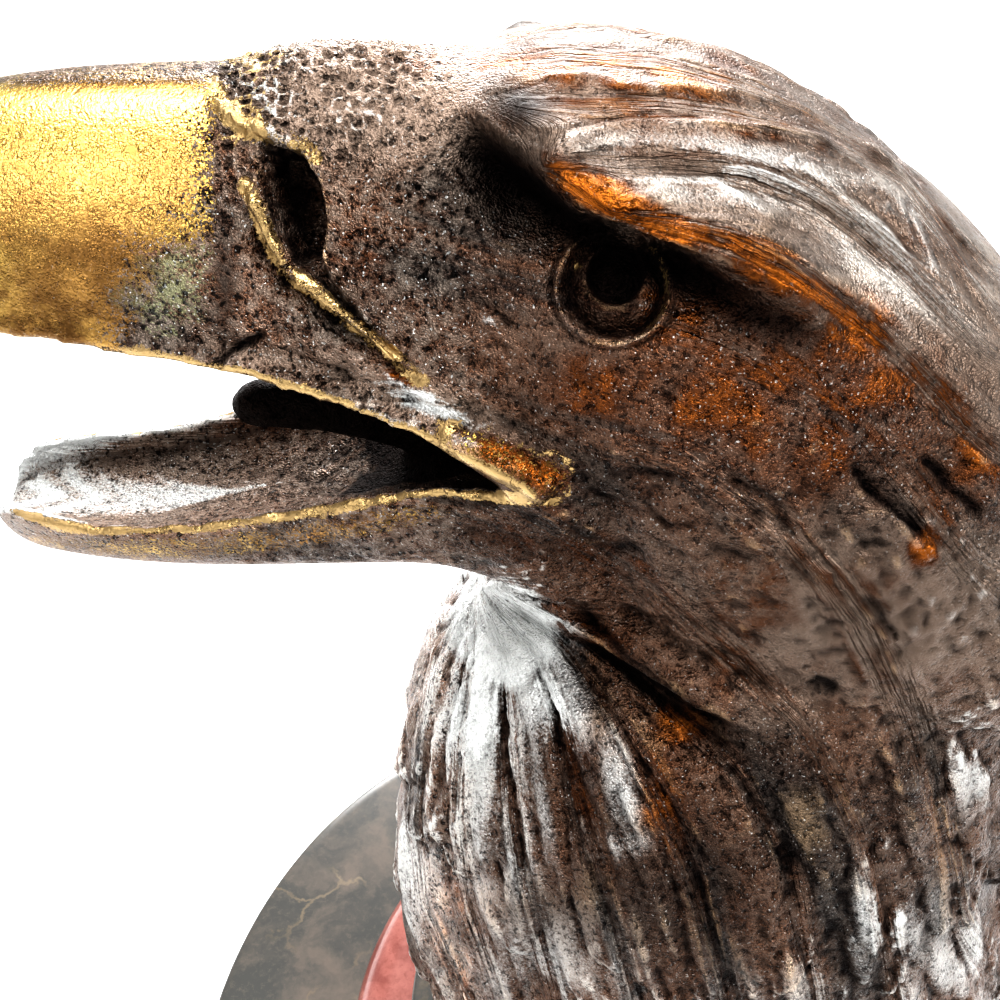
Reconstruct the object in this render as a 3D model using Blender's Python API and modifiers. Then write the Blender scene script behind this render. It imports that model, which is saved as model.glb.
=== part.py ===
"""Bronze eagle head bust with an open beak, on a turned plinth of dark and red marble.

Metres, +Z up. The beak points along -X. The origin is the centre of the plinth's underside.
"""

import math

import bmesh
import bpy
import numpy as np
from mathutils import Vector

# Driving size of the bust, in metres. The figure keeps its proportions as shares of its height.
BUST_HEIGHT = 0.276

# Driving sizes of the plinth, in metres. Each tier stands out past the one above it by its own ledge.
TIER_LEDGE = 0.021
TIER_HEIGHT = 0.012
RING_LEDGE = 0.020
RING_HEIGHT = 0.026
DISC_LEDGE = 0.049
DISC_HEIGHT = 0.024
SEAT_GAP = 0.0003
EDGE_ROUNDING = 0.0012

# The figure is drawn on a grid of this many units from its foot to its crown.
DRAWN_HEIGHT = 276.0
DRAWN_FOOT_RADIUS = 58.0
UNIT = BUST_HEIGHT / DRAWN_HEIGHT

# Fineness of the model
TURNED_STEPS = 64
SECTION_POINTS = 56
STEPS_BETWEEN = 4
VOXEL = 1.35
BUST_TRIANGLES = 7250

# Places on the figure, in drawing units: x forward of the axis is negative, z is above the foot.
# The paths are those of the side at negative y, and the other side mirrors them.
EYE = (-38.5, -31.5, 254.5)
EYEBALL_RADIUS = 9.0
EYEBALL_SINK = 5.8
SOCKET_RADIUS = 10.4
SOCKET_WIDTH = 2.4
SOCKET_DEPTH = 1.6
BROW_PATH = (
    (-63, -8, 274),
    (-55, -19, 271),
    (-46, -26, 266),
    (-37, -32, 262),
    (-24, -37, 257),
    (-9, -40, 250),
    (6, -42, 240),
)
JAW_PATH = ((-57, -8, 177), (-47, -20, 173), (-35, -32, 166), (-19, -45, 155), (-4, -55, 146), (10, -60, 134))
GAPE_PATH = (
    (-100, -18, 234),
    (-84, -21, 231),
    (-70, -24.5, 227),
    (-58, -28, 222),
    (-48, -30.5, 217),
    (-43, -31.5, 214),
)
NOSTRIL_PATH = ((-84.5, -18, 266), (-83, -20.5, 260), (-80, -22.5, 251), (-75, -24, 242), (-68, -26, 235.5))
NOSTRIL_DEPTHS = (3.0, 5.5, 5.0, 2.2, 0.8)
NOSTRIL_WIDTH = 4.2
NOSTRIL_RIM = 0.9
NOSTRIL_RIM_REACH = 5.4

# Ridges and hollows of the face: path, how far the path is moved, reach, height and share of it that fades out
FACE_STROKES = (
    (BROW_PATH, (0, 0, 0), 8.0, 4.6, 0.12),
    (BROW_PATH, (0, 1.0, -7.5), 6.5, -4.0, 0.20),
    (GAPE_PATH, (0, 0, 0), 3.2, 1.2, 0.15),
    (JAW_PATH, (0, 0, 0), 9.0, 2.2, 0.20),
    (JAW_PATH, (0, 2.0, -12.0), 10.0, -5.5, 0.25),
)

# Bill: culmen x and z, cutting edge x and z, half width at the edge
BILL_STATIONS = (
    (-80, 275.0, -80, 230.0, 22.0),
    (-94, 274.2, -91.5, 232.7, 19.8),
    (-108, 273.6, -106, 234.0, 17.8),
    (-122, 272.2, -119, 235.2, 15.8),
    (-135, 268.6, -131, 235.6, 13.6),
    (-146, 261.2, -141, 234.0, 11.6),
    (-154.5, 249.8, -147.5, 229.5, 9.4),
    (-159.5, 236.0, -151.5, 223.0, 7.0),
    (-161, 222.0, -154.5, 216.0, 4.6),
    (-159.5, 210.0, -156.5, 208.5, 1.8),
)
BILL_SHAPE = (0.0, 1.0, -0.06, 0.84)

# Skull: crown x and z, underside x and z, half width, belly's share of the height, underside's drop, squareness
SKULL_STATIONS = (
    (-92.5, 273.6, -90.5, 232.6, 19.8, 0.00, -0.06, 0.86),
    (-86, 275.8, -84, 231.2, 21.4, 0.00, -0.06, 0.86),
    (-75, 276.2, -73, 228.4, 23.8, 0.02, -0.06, 0.86),
    (-62, 274.2, -60, 224.2, 27.2, 0.06, -0.04, 0.84),
    (-52, 275.2, -50, 219.2, 30.4, 0.14, 0.00, 0.80),
    (-42, 277.0, -42, 203.0, 33.5, 0.42, 0.42, 0.76),
    (-28, 275.2, -34, 188.0, 37.0, 0.50, 0.50, 0.74),
    (-12, 270.2, -26, 176.0, 40.5, 0.50, 0.50, 0.78),
    (8, 259.0, -14, 163.0, 43.5, 0.50, 0.50, 0.85),
    (27, 242.5, 4, 152.0, 44.5, 0.50, 0.50, 0.90),
    (43, 222.0, 22, 146.0, 42.0, 0.50, 0.50, 1.00),
    (54, 198.0, 36, 146.0, 32.0, 0.50, 0.50, 1.00),
    (57, 172.0, 48, 154.0, 14.0, 0.50, 0.50, 1.00),
)

# Mandible: rim x and z, underside x and z, half width
MANDIBLE_STATIONS = (
    (-148.0, 193.2, -147.5, 189.0, 2.4),
    (-145.5, 197.0, -145.0, 186.0, 6.8),
    (-137, 198.6, -136.5, 183.4, 11.2),
    (-122.5, 197.4, -122, 182.6, 14.8),
    (-104, 200.2, -103.5, 182.2, 17.6),
    (-86, 205.6, -85.5, 183.2, 20.4),
    (-64, 213.8, -63.5, 184.6, 25.4),
    (-48, 215.4, -47, 179.0, 29.0),
    (-32, 212.0, -30, 170.0, 29.0),
)
MANDIBLE_SHAPE = (1.0, -0.30, 1.0, 0.86)

# Tongue: x, z and radius along its middle
TONGUE_STATIONS = (
    (-99, 213.6, 1.8),
    (-97, 213.6, 3.9),
    (-86, 213.2, 4.3),
    (-74, 211.2, 5.0),
    (-62, 208.0, 6.4),
    (-50, 205.0, 8.0),
)

# Neck: height, front, back and half width
NECK_STATIONS = (
    (0.0, -1.02 * DRAWN_FOOT_RADIUS, 1.00 * DRAWN_FOOT_RADIUS, 0.97 * DRAWN_FOOT_RADIUS),
    (6.0, -1.10 * DRAWN_FOOT_RADIUS, 1.05 * DRAWN_FOOT_RADIUS, 1.01 * DRAWN_FOOT_RADIUS),
    (18.0, -67.0, 66.0, 60.5),
    (40.0, -72.0, 71.0, 64.0),
    (66.0, -76.5, 72.0, 66.0),
    (88.0, -77.0, 69.0, 66.0),
    (116.0, -73.5, 62.0, 62.0),
    (142.0, -68.5, 59.0, 57.0),
    (160.0, -62.0, 57.5, 50.0),
    (174.0, -53.0, 56.5, 44.0),
    (192.0, -34.0, 53.0, 36.0),
)

# Tiers of pointed locks round the neck: height of the tips, how many, and how long each lock is
LOCK_TIERS = ((8.0, 22, 60.0), (44.0, 23, 64.0), (84.0, 23, 62.0), (122.0, 22, 52.0))
LOCK_DEPTH = 3.6
LOCK_SPREAD = 1.35
LOCK_RAGGED = 14.0
LOCK_SWAY = 0.35
LOCK_TIP = 0.38
LOCK_SINK = 0.35
LOCK_FADE_ABOVE = (128.0, 164.0)
LOCK_FADE_BELOW = (2.0, 12.0)

# Plume down the front of the throat: its lowest tip's height, its strands, and their spacing in radians
PLUME_TIP = 112.0
PLUME_COUNT = 9
PLUME_LENGTH = 62.0
PLUME_STEP = 0.26
PLUME_WIDTH = 0.30
PLUME_LIFT = 2.6
PLUME_RISE = 22.0
PLUME_FADE_ABOVE = (150.0, 176.0)

# Flutes over the crown and nape
FLUTE_CENTRE_HEIGHT = 205.0
FLUTE_COUNT = 18
FLUTE_TWIST = 0.06
FLUTE_DEPTH = 0.9

# Everything under this height is levelled to make the flat foot.
FOOT_LEVEL = 1.2


def clear_scene():
    for old in list(bpy.data.objects):
        bpy.data.objects.remove(old, do_unlink=True)


def finish_material(name, colour, roughness, metallic=0.0):
    material = bpy.data.materials.new(name)
    material.use_nodes = True
    shader = material.node_tree.nodes["Principled BSDF"]
    shader.inputs["Base Color"].default_value = (*colour, 1.0)
    shader.inputs["Roughness"].default_value = roughness
    shader.inputs["Metallic"].default_value = metallic
    return material


def smoothstep(low, high, value):
    share = np.clip((value - low) / (high - low), 0.0, 1.0)
    return share * share * (3.0 - 2.0 * share)


def smooth_rows(rows):
    """The rows with more between them, on a smooth curve through every one."""
    knots = np.array(rows, float)
    padded = np.vstack((2 * knots[0] - knots[1], knots, 2 * knots[-1] - knots[-2]))
    found = []
    for before, start, end, after in zip(padded, padded[1:], padded[2:], padded[3:]):
        for step in range(STEPS_BETWEEN):
            t = step / STEPS_BETWEEN
            curve = 2 * start + (end - before) * t + (2 * before - 5 * start + 4 * end - after) * t * t
            found.append((curve + (3 * (start - end) + after - before) * t**3) / 2)
    found.append(knots[-1])
    return found


def rise(reach, lift):
    """Share of the height that a ring gains at this lift: a swelling, or a hollow where reach is negative."""
    return reach * (lift if reach > 0 else lift * lift)


def section(top, low, half_width, belly, up, down, square):
    """One closed ring, widest at the belly, which is a share of the way from low to top."""
    top, low = Vector(top), Vector(low)
    ring = []
    for step in range(SECTION_POINTS):
        angle = 2.0 * math.pi * step / SECTION_POINTS
        side, lift = math.cos(angle), math.sin(angle)
        share = belly + rise(up, lift) if lift >= 0 else belly - rise(down, -lift)
        point = low.lerp(top, share)
        point.y += half_width * math.copysign(abs(side) ** square, side)
        ring.append(point)
    return ring


def add_loft(mesh, rings):
    """Skins a row of rings and closes both ends."""
    loops = [[mesh.verts.new(point) for point in ring] for ring in rings]
    count = len(loops[0])
    for near, far in zip(loops, loops[1:]):
        for k in range(count):
            mesh.faces.new((near[k], near[(k + 1) % count], far[(k + 1) % count], far[k]))
    mesh.faces.new(loops[0][::-1])
    mesh.faces.new(loops[-1])


def add_bill(mesh):
    belly, up, down, square = BILL_SHAPE
    rings = [
        section((xt, 0, zt), (xl, 0, zl), half, belly, up, down, square)
        for xt, zt, xl, zl, half in smooth_rows(BILL_STATIONS)
    ]
    add_loft(mesh, rings)


def add_skull(mesh):
    rings = [
        section((xt, 0, zt), (xl, 0, zl), half, belly, 1 - belly, down, square)
        for xt, zt, xl, zl, half, belly, down, square in smooth_rows(SKULL_STATIONS)
    ]
    add_loft(mesh, rings)


def add_mandible(mesh):
    belly, up, down, square = MANDIBLE_SHAPE
    rings = [
        section((xt, 0, zt), (xl, 0, zl), half, belly, up, down, square)
        for xt, zt, xl, zl, half in smooth_rows(MANDIBLE_STATIONS)
    ]
    add_loft(mesh, rings)


def add_tongue(mesh):
    rings = [
        section((x, 0, z + radius), (x, 0, z - radius), radius, 0.5, 0.5, 0.5, 1.0)
        for x, z, radius in smooth_rows(TONGUE_STATIONS)
    ]
    add_loft(mesh, rings)


def add_neck(mesh):
    rings = []
    for height, front, back, half in smooth_rows(NECK_STATIONS):
        middle, reach = (front + back) / 2, (back - front) / 2
        ring = []
        for step in range(SECTION_POINTS):
            angle = 2.0 * math.pi * step / SECTION_POINTS
            ring.append(Vector((middle + reach * math.cos(angle), half * math.sin(angle), height)))
        rings.append(ring)
    add_loft(mesh, rings)


def add_eyes(mesh):
    for side in (1, -1):
        ball = bmesh.ops.create_uvsphere(mesh, u_segments=32, v_segments=16, radius=EYEBALL_RADIUS)
        centre = Vector((EYE[0], side * (EYE[1] + EYEBALL_SINK), EYE[2]))
        bmesh.ops.translate(mesh, verts=ball["verts"], vec=centre)


def fused_form():
    """The lofts made one closed skin of even faces, in drawing units."""
    mesh = bmesh.new()
    for add in (add_bill, add_skull, add_mandible, add_tongue, add_neck, add_eyes):
        add(mesh)
    bmesh.ops.recalc_face_normals(mesh, faces=mesh.faces)
    data = bpy.data.meshes.new("form")
    mesh.to_mesh(data)
    mesh.free()
    form = bpy.data.objects.new("form", data)
    bpy.context.scene.collection.objects.link(form)
    remesh = form.modifiers.new("fuse", "REMESH")
    remesh.mode = "VOXEL"
    remesh.voxel_size = VOXEL
    graph = bpy.context.evaluated_depsgraph_get()
    fused = bpy.data.meshes.new_from_object(form.evaluated_get(graph))
    bpy.data.objects.remove(form, do_unlink=True)
    return fused


def points_of(data):
    flat = np.empty(len(data.vertices) * 3)
    data.vertices.foreach_get("co", flat)
    return flat.reshape(-1, 3)


def normals_of(data):
    flat = np.empty(len(data.vertices) * 3)
    data.vertices.foreach_get("normal", flat)
    return flat.reshape(-1, 3)


def put_points(data, points):
    data.vertices.foreach_set("co", points.ravel())
    data.update()


def relax(data, rounds, share, swell=0.0):
    """Evens the skin: each point moves towards the middle of its neighbours, and back out by swell."""
    flat = np.empty(len(data.edges) * 2, np.int64)
    data.edges.foreach_get("vertices", flat)
    first, second = flat.reshape(-1, 2).T
    points = points_of(data)
    count = np.bincount(flat, minlength=len(points))[:, None]
    for _ in range(rounds):
        for pull in (share, -swell):
            total = np.zeros_like(points)
            for axis in range(3):
                total[:, axis] = np.bincount(first, points[second, axis], len(points))
                total[:, axis] += np.bincount(second, points[first, axis], len(points))
            points += (total / count - points) * pull
    put_points(data, points)


def path_reach(points, path):
    """Distance from each point, on either side of the head, to a path, and the nearest spot's share along it."""
    both = points * (1, -1, 1)
    both[:, 1] = -np.abs(points[:, 1])
    best = np.full(len(points), 1e9)
    along = np.zeros(len(points))
    knots = np.array(path, float)
    for k, (start, end) in enumerate(zip(knots, knots[1:])):
        run = end - start
        share = np.clip((both - start) @ run / (run @ run), 0, 1)
        reach = np.linalg.norm(both - start - share[:, None] * run, axis=1)
        nearer = reach < best
        best[nearer] = reach[nearer]
        along[nearer] = (k + share[nearer]) / (len(knots) - 1)
    return best, along


def stroke(data, path, shift, radius, height, taper):
    """Raises the skin along a path, or cuts it where height is negative, fading towards both ends."""
    points, normals = points_of(data), normals_of(data)
    moved = [tuple(np.add(knot, shift)) for knot in path]
    reach, along = path_reach(points, moved)
    fade = smoothstep(0, taper, along) * smoothstep(1, 1 - taper, along)
    amount = height * (1 - smoothstep(0, radius, reach)) * fade
    put_points(data, points + normals * amount[:, None])


def carve_face(data):
    """The brow's ledge with the hollow under it, the lip of the gape and the jaw's edge."""
    for path, shift, radius, height, taper in FACE_STROKES:
        stroke(data, path, shift, radius, height, taper)


def carve_nostrils(data):
    """A slanting slit on each side that is deep at its top and fades down towards the lip."""
    points, normals = points_of(data), normals_of(data)
    reach, along = path_reach(points, NOSTRIL_PATH)
    depth = np.interp(along, np.linspace(0, 1, len(NOSTRIL_DEPTHS)), NOSTRIL_DEPTHS)
    slit = depth * (1 - smoothstep(NOSTRIL_WIDTH / 4, NOSTRIL_WIDTH, reach))
    rim = NOSTRIL_RIM * np.exp(-(((reach - NOSTRIL_RIM_REACH) / (NOSTRIL_WIDTH * 0.4)) ** 2))
    put_points(data, points + normals * (rim - slit)[:, None])


def carve_eyes(data):
    """A hollow round each eyeball, with the ball left standing in it."""
    points, normals = points_of(data), normals_of(data)
    both = points.copy()
    both[:, 1] = -np.abs(points[:, 1])
    reach = np.linalg.norm(both - np.array(EYE), axis=1)
    ring = np.exp(-(((reach - SOCKET_RADIUS) / SOCKET_WIDTH) ** 2))
    put_points(data, points - normals * (ring * SOCKET_DEPTH)[:, None])


def jitter(seed):
    """A number from -0.5 to 0.5 that looks random and is always the same for this seed."""
    return math.sin(seed * 12.9898) * 43758.5453 % 1.0 - 0.5


def lock_relief(azimuth, height, centre, tip, length, width):
    """How far one lock stands out: pointed at its tip, round across, and sunk at its root."""
    along = (height - tip) / length
    across = (azimuth - centre + math.pi) % (2 * math.pi) - math.pi
    across = 2 * across / (width * LOCK_SPREAD) + LOCK_SWAY * width * along
    outline = np.sqrt(np.clip(along / LOCK_TIP, 0, 1))
    inside = (along > 0) & (along < 1) & (np.abs(across) < outline)
    swell = np.sqrt(np.clip(1 - (across / np.maximum(outline, 0.01)) ** 2, 0, 1))
    return np.where(inside, (1 + 2 * swell) / 3 * (1 - along), 0.0)


def carve_locks(data):
    """Tiers of overlapping locks round the neck, each dropping away at its ragged tip."""
    points, normals = points_of(data), normals_of(data)
    height = points[:, 2]
    azimuth = np.arctan2(points[:, 1], points[:, 0])
    relief = np.zeros(len(points))
    for tier, (tip, count, length) in enumerate(LOCK_TIERS):
        width = 2 * math.pi / count
        for k in range(count):
            seed = 100 * tier + k + 1
            centre = (k + 0.5 * (tier % 2) + 0.4 * jitter(seed)) * width
            low = tip + LOCK_RAGGED * jitter(seed + 0.37)
            relief = np.maximum(relief, lock_relief(azimuth, height, centre, low, length, width))
    fade = (1 - smoothstep(*LOCK_FADE_ABOVE, height)) * smoothstep(*LOCK_FADE_BELOW, height)
    put_points(data, points + normals * ((relief - LOCK_SINK) * LOCK_DEPTH * fade)[:, None])


def carve_plume(data):
    """Long strands that fall from the throat down the front of the neck, over the tiers."""
    points, normals = points_of(data), normals_of(data)
    fan = np.arctan2(points[:, 1], -points[:, 0])
    relief = np.zeros(len(points))
    for k in range(PLUME_COUNT):
        place = k - (PLUME_COUNT - 1) / 2
        centre = place * PLUME_STEP + PLUME_STEP * jitter(k + 700) / 4
        low = PLUME_TIP + PLUME_RISE * abs(place) / PLUME_COUNT + LOCK_RAGGED * jitter(k + 800)
        relief = np.maximum(relief, lock_relief(fan, points[:, 2], centre, low, PLUME_LENGTH, PLUME_WIDTH))
    fade = 1 - smoothstep(*PLUME_FADE_ABOVE, points[:, 2])
    put_points(data, points + normals * (relief * PLUME_LIFT * fade)[:, None])


def carve_crown(data):
    """Long flutes that run back from the brow over the crown and nape."""
    points, normals = points_of(data), normals_of(data)
    around = np.arctan2(np.abs(points[:, 1]), points[:, 2] - FLUTE_CENTRE_HEIGHT)
    flutes = np.cos(around * FLUTE_COUNT + FLUTE_TWIST * points[:, 0])
    weight = smoothstep(-48, -30, points[:, 0]) * smoothstep(222, 240, points[:, 2])
    put_points(data, points + normals * (flutes * FLUTE_DEPTH * weight)[:, None])


def flatten_foot(data):
    """Levels the lowest rows, so that the bust stands on a flat foot."""
    points = points_of(data)
    points[points[:, 2] < FOOT_LEVEL, 2] = 0.0
    put_points(data, points)


def make_bust(collection, seat, material):
    data = fused_form()
    relax(data, 10, 0.6, 0.62)
    relax(data, 1, 0.5)
    carve_face(data)
    carve_nostrils(data)
    carve_eyes(data)
    carve_crown(data)
    carve_locks(data)
    carve_plume(data)
    relax(data, 1, 0.35)
    flatten_foot(data)
    put_points(data, points_of(data) * UNIT)
    bust = bpy.data.objects.new("eagle_bust", data)
    bust.location.z = seat
    thin = bust.modifiers.new("facets", "DECIMATE")
    thin.ratio = BUST_TRIANGLES / (2 * len(data.polygons))
    thin.use_collapse_triangulate = True
    data.materials.clear()
    data.materials.append(material)
    collection.objects.link(bust)
    return bust


def turned(collection, name, profile, material):
    """A turned piece: its profile of (radius, height) runs down from the top of the axis to its bottom."""
    mesh = bmesh.new()
    points = [mesh.verts.new((radius, 0, height)) for radius, height in profile]
    for upper, lower in zip(points, points[1:]):
        mesh.edges.new((upper, lower))
    data = bpy.data.meshes.new(name)
    mesh.to_mesh(data)
    mesh.free()
    piece = bpy.data.objects.new(name, data)
    screw = piece.modifiers.new("turn", "SCREW")
    screw.steps = TURNED_STEPS
    screw.render_steps = TURNED_STEPS
    screw.use_merge_vertices = True
    screw.merge_threshold = 0.00001
    screw.use_smooth_shade = True
    data.materials.append(material)
    collection.objects.link(piece)
    return piece


def slab_profile(radius, low, high, rounding):
    """A flat disc with its upper and lower edge rounded."""
    return (
        (0, high),
        (radius - rounding, high),
        (radius - rounding * 0.3, high - rounding * 0.3),
        (radius, high - rounding),
        (radius, low + rounding),
        (radius - rounding * 0.3, low + rounding * 0.3),
        (radius - rounding, low),
        (0, low),
    )


def torus_profile(radius, low, high, fillets=8):
    """A disc whose rim is a half round, as on a turned torus moulding."""
    half = (high - low) / 2
    rim = []
    for step in range(fillets + 1):
        angle = math.pi / 2 - math.pi * step / fillets
        rim.append((radius - half + half * math.cos(angle), low + half + half * math.sin(angle)))
    return ((0, high), *rim, (0, low))


def main():
    clear_scene()
    collection = bpy.data.collections.new("eagle head bust")
    bpy.context.scene.collection.children.link(collection)
    bronze = finish_material("bronze", (0.085, 0.052, 0.036), 0.42, 0.9)
    dark_marble = finish_material("dark marble", (0.055, 0.055, 0.045), 0.18)
    red_marble = finish_material("red marble", (0.32, 0.055, 0.03), 0.15)

    tier_radius = DRAWN_FOOT_RADIUS * UNIT + TIER_LEDGE
    ring_radius = tier_radius + RING_LEDGE
    disc_radius = ring_radius + DISC_LEDGE
    ring_low = DISC_HEIGHT + SEAT_GAP
    tier_low = ring_low + RING_HEIGHT + SEAT_GAP
    seat = tier_low + TIER_HEIGHT + SEAT_GAP

    disc = slab_profile(disc_radius, 0, DISC_HEIGHT, EDGE_ROUNDING)
    ring = torus_profile(ring_radius, ring_low, ring_low + RING_HEIGHT)
    tier = slab_profile(tier_radius, tier_low, tier_low + TIER_HEIGHT, EDGE_ROUNDING)
    turned(collection, "base_disc", disc, dark_marble)
    turned(collection, "red_marble_ring", ring, red_marble)
    turned(collection, "top_tier", tier, dark_marble)
    make_bust(collection, seat, bronze)


main()
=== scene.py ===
"""Eagle head bust of patinated bronze on a plinth of dark and red marble: its surfaces, light and camera.

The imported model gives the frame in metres. The bust is drawn in units of a millimetre above its own foot.
"""

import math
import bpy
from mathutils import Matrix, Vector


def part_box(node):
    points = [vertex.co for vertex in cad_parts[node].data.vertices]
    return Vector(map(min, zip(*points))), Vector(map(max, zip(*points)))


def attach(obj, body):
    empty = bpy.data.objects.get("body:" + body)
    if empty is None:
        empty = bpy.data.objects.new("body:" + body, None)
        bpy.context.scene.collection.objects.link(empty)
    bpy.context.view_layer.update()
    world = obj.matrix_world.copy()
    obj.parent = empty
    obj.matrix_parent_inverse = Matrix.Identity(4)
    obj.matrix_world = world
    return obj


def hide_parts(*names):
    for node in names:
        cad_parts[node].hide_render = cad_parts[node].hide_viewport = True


bl_info = {
    "name": "Eagle Head Bust",
    "version": (1, 0, 0),
    "blender": (4, 5, 0),
    "location": "View3D > Sidebar > Eagle Bust",
    "description": "Dresses a bronze eagle head bust and its marble plinth",
    "category": "Object",
}

import bmesh
import bpy
import numpy as np
from mathutils import Vector

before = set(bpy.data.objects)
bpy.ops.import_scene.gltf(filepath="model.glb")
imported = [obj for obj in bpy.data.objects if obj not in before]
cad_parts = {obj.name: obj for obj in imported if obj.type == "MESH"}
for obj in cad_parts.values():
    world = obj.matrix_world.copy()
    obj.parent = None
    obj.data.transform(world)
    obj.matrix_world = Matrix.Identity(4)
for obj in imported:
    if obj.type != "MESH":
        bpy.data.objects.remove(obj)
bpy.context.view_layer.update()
BODY = "root"
UNIT = 0.001
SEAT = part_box("eagle_bust")[0].z / UNIT

# Camera of the photograph: place in drawing units over the plinth's underside, tilt, focal length in pixels
CAMERA_PLACE = np.array((-52.6, -159.8, 384.0))
CAMERA_TILT = math.radians(38.97)
CAMERA_FOCUS = 1100.0
PICTURE_WIDTH = 1000.0
SENSOR_WIDTH = 36.0

# Fineness of the bust's skin, the height under which its foot is pressed flat, and the stretch of x over
# which the smoothing of the beak comes in, all in drawing units
SECTION_POINTS = 96
STEPS_BETWEEN = 5
VOXEL = 1.5
MOST_TRIANGLES = 196000
FOOT_LEVEL = 1.2
BEAK_ZONE = (-46, -56)

# Windows on the photograph that get finer faces or strands: left, right, top and bottom
FINE_WINDOW = (-60.0, 1060.0, 20.0, 1060.0)
CERE_WINDOW = (198, 450, 36, 400)
BROW_WINDOW = (440, 900, 60, 320)
CROWN_WINDOW = (440, 1000, 20, 330)
CHEEK_WINDOW = (560, 1040, 460, 1010)
NECK_WINDOW = (720, 1040, 690, 1000)
PLUME_MIDDLE_WINDOW = (395, 700, 590, 790)
PLUME_LOWER_WINDOW = (395, 780, 800, 900)
PLUME_WINDOW = (395, 760, 590, 1000)

# Bill: culmen x and z, cutting edge x and z, half width at the edge
BILL_STATIONS = (
    (-80, 271.2, -80, 230.0, 22.0),
    (-94, 271.0, -91.5, 232.7, 19.8),
    (-108, 270.6, -106, 234.0, 17.8),
    (-122, 269.4, -119, 235.2, 15.8),
    (-135, 266.2, -131, 235.6, 13.6),
    (-146, 259.6, -141, 234.0, 11.6),
    (-154.5, 249.8, -147.5, 229.5, 9.4),
    (-159.5, 236.0, -151.5, 223.0, 7.0),
    (-161, 222.0, -154.5, 216.0, 4.6),
    (-159.5, 210.0, -156.5, 208.5, 1.8),
)
BILL_SHAPE = (0.0, 1.0, -0.10, 0.84)

# Skull: crown x and z, underside x and z, half width, belly's share of the height, drop below it, squareness
SKULL_STATIONS = (
    (-92.5, 270.2, -90.5, 232.6, 19.8, 0.00, -0.10, 0.86),
    (-86, 272.8, -84, 231.2, 21.4, 0.00, -0.10, 0.86),
    (-75, 274.0, -73, 228.4, 23.8, 0.02, -0.10, 0.86),
    (-62, 272.8, -60, 224.2, 27.2, 0.06, -0.06, 0.84),
    (-52, 273.2, -50, 219.2, 30.4, 0.14, 0.00, 0.80),
    (-42, 274.6, -42, 203.0, 33.5, 0.42, 0.42, 0.76),
    (-28, 272.8, -34, 188.0, 37.0, 0.50, 0.50, 0.74),
    (-12, 267.8, -26, 176.0, 40.5, 0.50, 0.50, 0.78),
    (8, 256.4, -14, 163.0, 43.5, 0.50, 0.50, 0.85),
    (27, 241.0, 4, 152.0, 44.5, 0.50, 0.50, 0.90),
    (43, 222.0, 22, 146.0, 42.0, 0.50, 0.50, 1.00),
    (54, 198.0, 36, 146.0, 32.0, 0.50, 0.50, 1.00),
    (57, 172.0, 48, 154.0, 14.0, 0.50, 0.50, 1.00),
)

# Mandible: rim x and z, underside x and z, half width
MANDIBLE_STATIONS = (
    (-145.2, 192.6, -144.9, 189.0, 2.4),
    (-143.4, 195.8, -143.0, 186.0, 6.8),
    (-137, 198.6, -136.5, 183.4, 11.2),
    (-122.5, 197.4, -122, 182.6, 14.8),
    (-104, 200.2, -103.5, 182.2, 17.6),
    (-86, 205.6, -85.5, 183.2, 20.4),
    (-64, 213.8, -63.5, 184.6, 25.4),
    (-48, 215.4, -47, 179.0, 29.0),
    (-32, 212.0, -30, 170.0, 29.0),
)
MANDIBLE_SHAPE = (1.0, -0.36, 1.0, 0.86)

# Tongue: x, z and radius along its middle
TONGUE_STATIONS = (
    (-99, 213.6, 1.8),
    (-97, 213.6, 3.9),
    (-86, 213.2, 4.3),
    (-74, 211.2, 5.0),
    (-62, 208.0, 6.4),
    (-50, 205.0, 8.0),
)

# Beads at the mouth's corner and in the cheek: x, y, z and radius
MOUTH_CORNER = (
    (-52, 29.4, 220.0, 2.2), (-46, 30.4, 217.0, 3.0), (-41, 31.0, 213.6, 3.4), (-37, 30.6, 210.6, 2.6),
)
CHEEK_PAD = (
    (-62, 25.0, 227.5, 3.0), (-54, 26.8, 224.5, 4.2), (-46, 28.4, 220.5, 4.8), (-38, 29.0, 215.5, 4.4),
)

# Neck: height, front, back and half width
FOOT_RADIUS = 58.0
NECK_STATIONS = (
    (0.0, -1.02 * FOOT_RADIUS, 1.00 * FOOT_RADIUS, 0.97 * FOOT_RADIUS),
    (6.0, -1.10 * FOOT_RADIUS, 1.05 * FOOT_RADIUS, 1.01 * FOOT_RADIUS),
    (18.0, -67.0, 66.0, 60.5),
    (40.0, -72.0, 71.0, 64.0),
    (66.0, -76.5, 72.0, 66.0),
    (88.0, -77.0, 69.0, 66.0),
    (116.0, -73.5, 62.0, 62.0),
    (142.0, -68.5, 59.0, 57.0),
    (160.0, -62.0, 57.5, 50.0),
    (174.0, -53.0, 56.5, 44.0),
    (192.0, -34.0, 53.0, 36.0),
)

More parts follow.
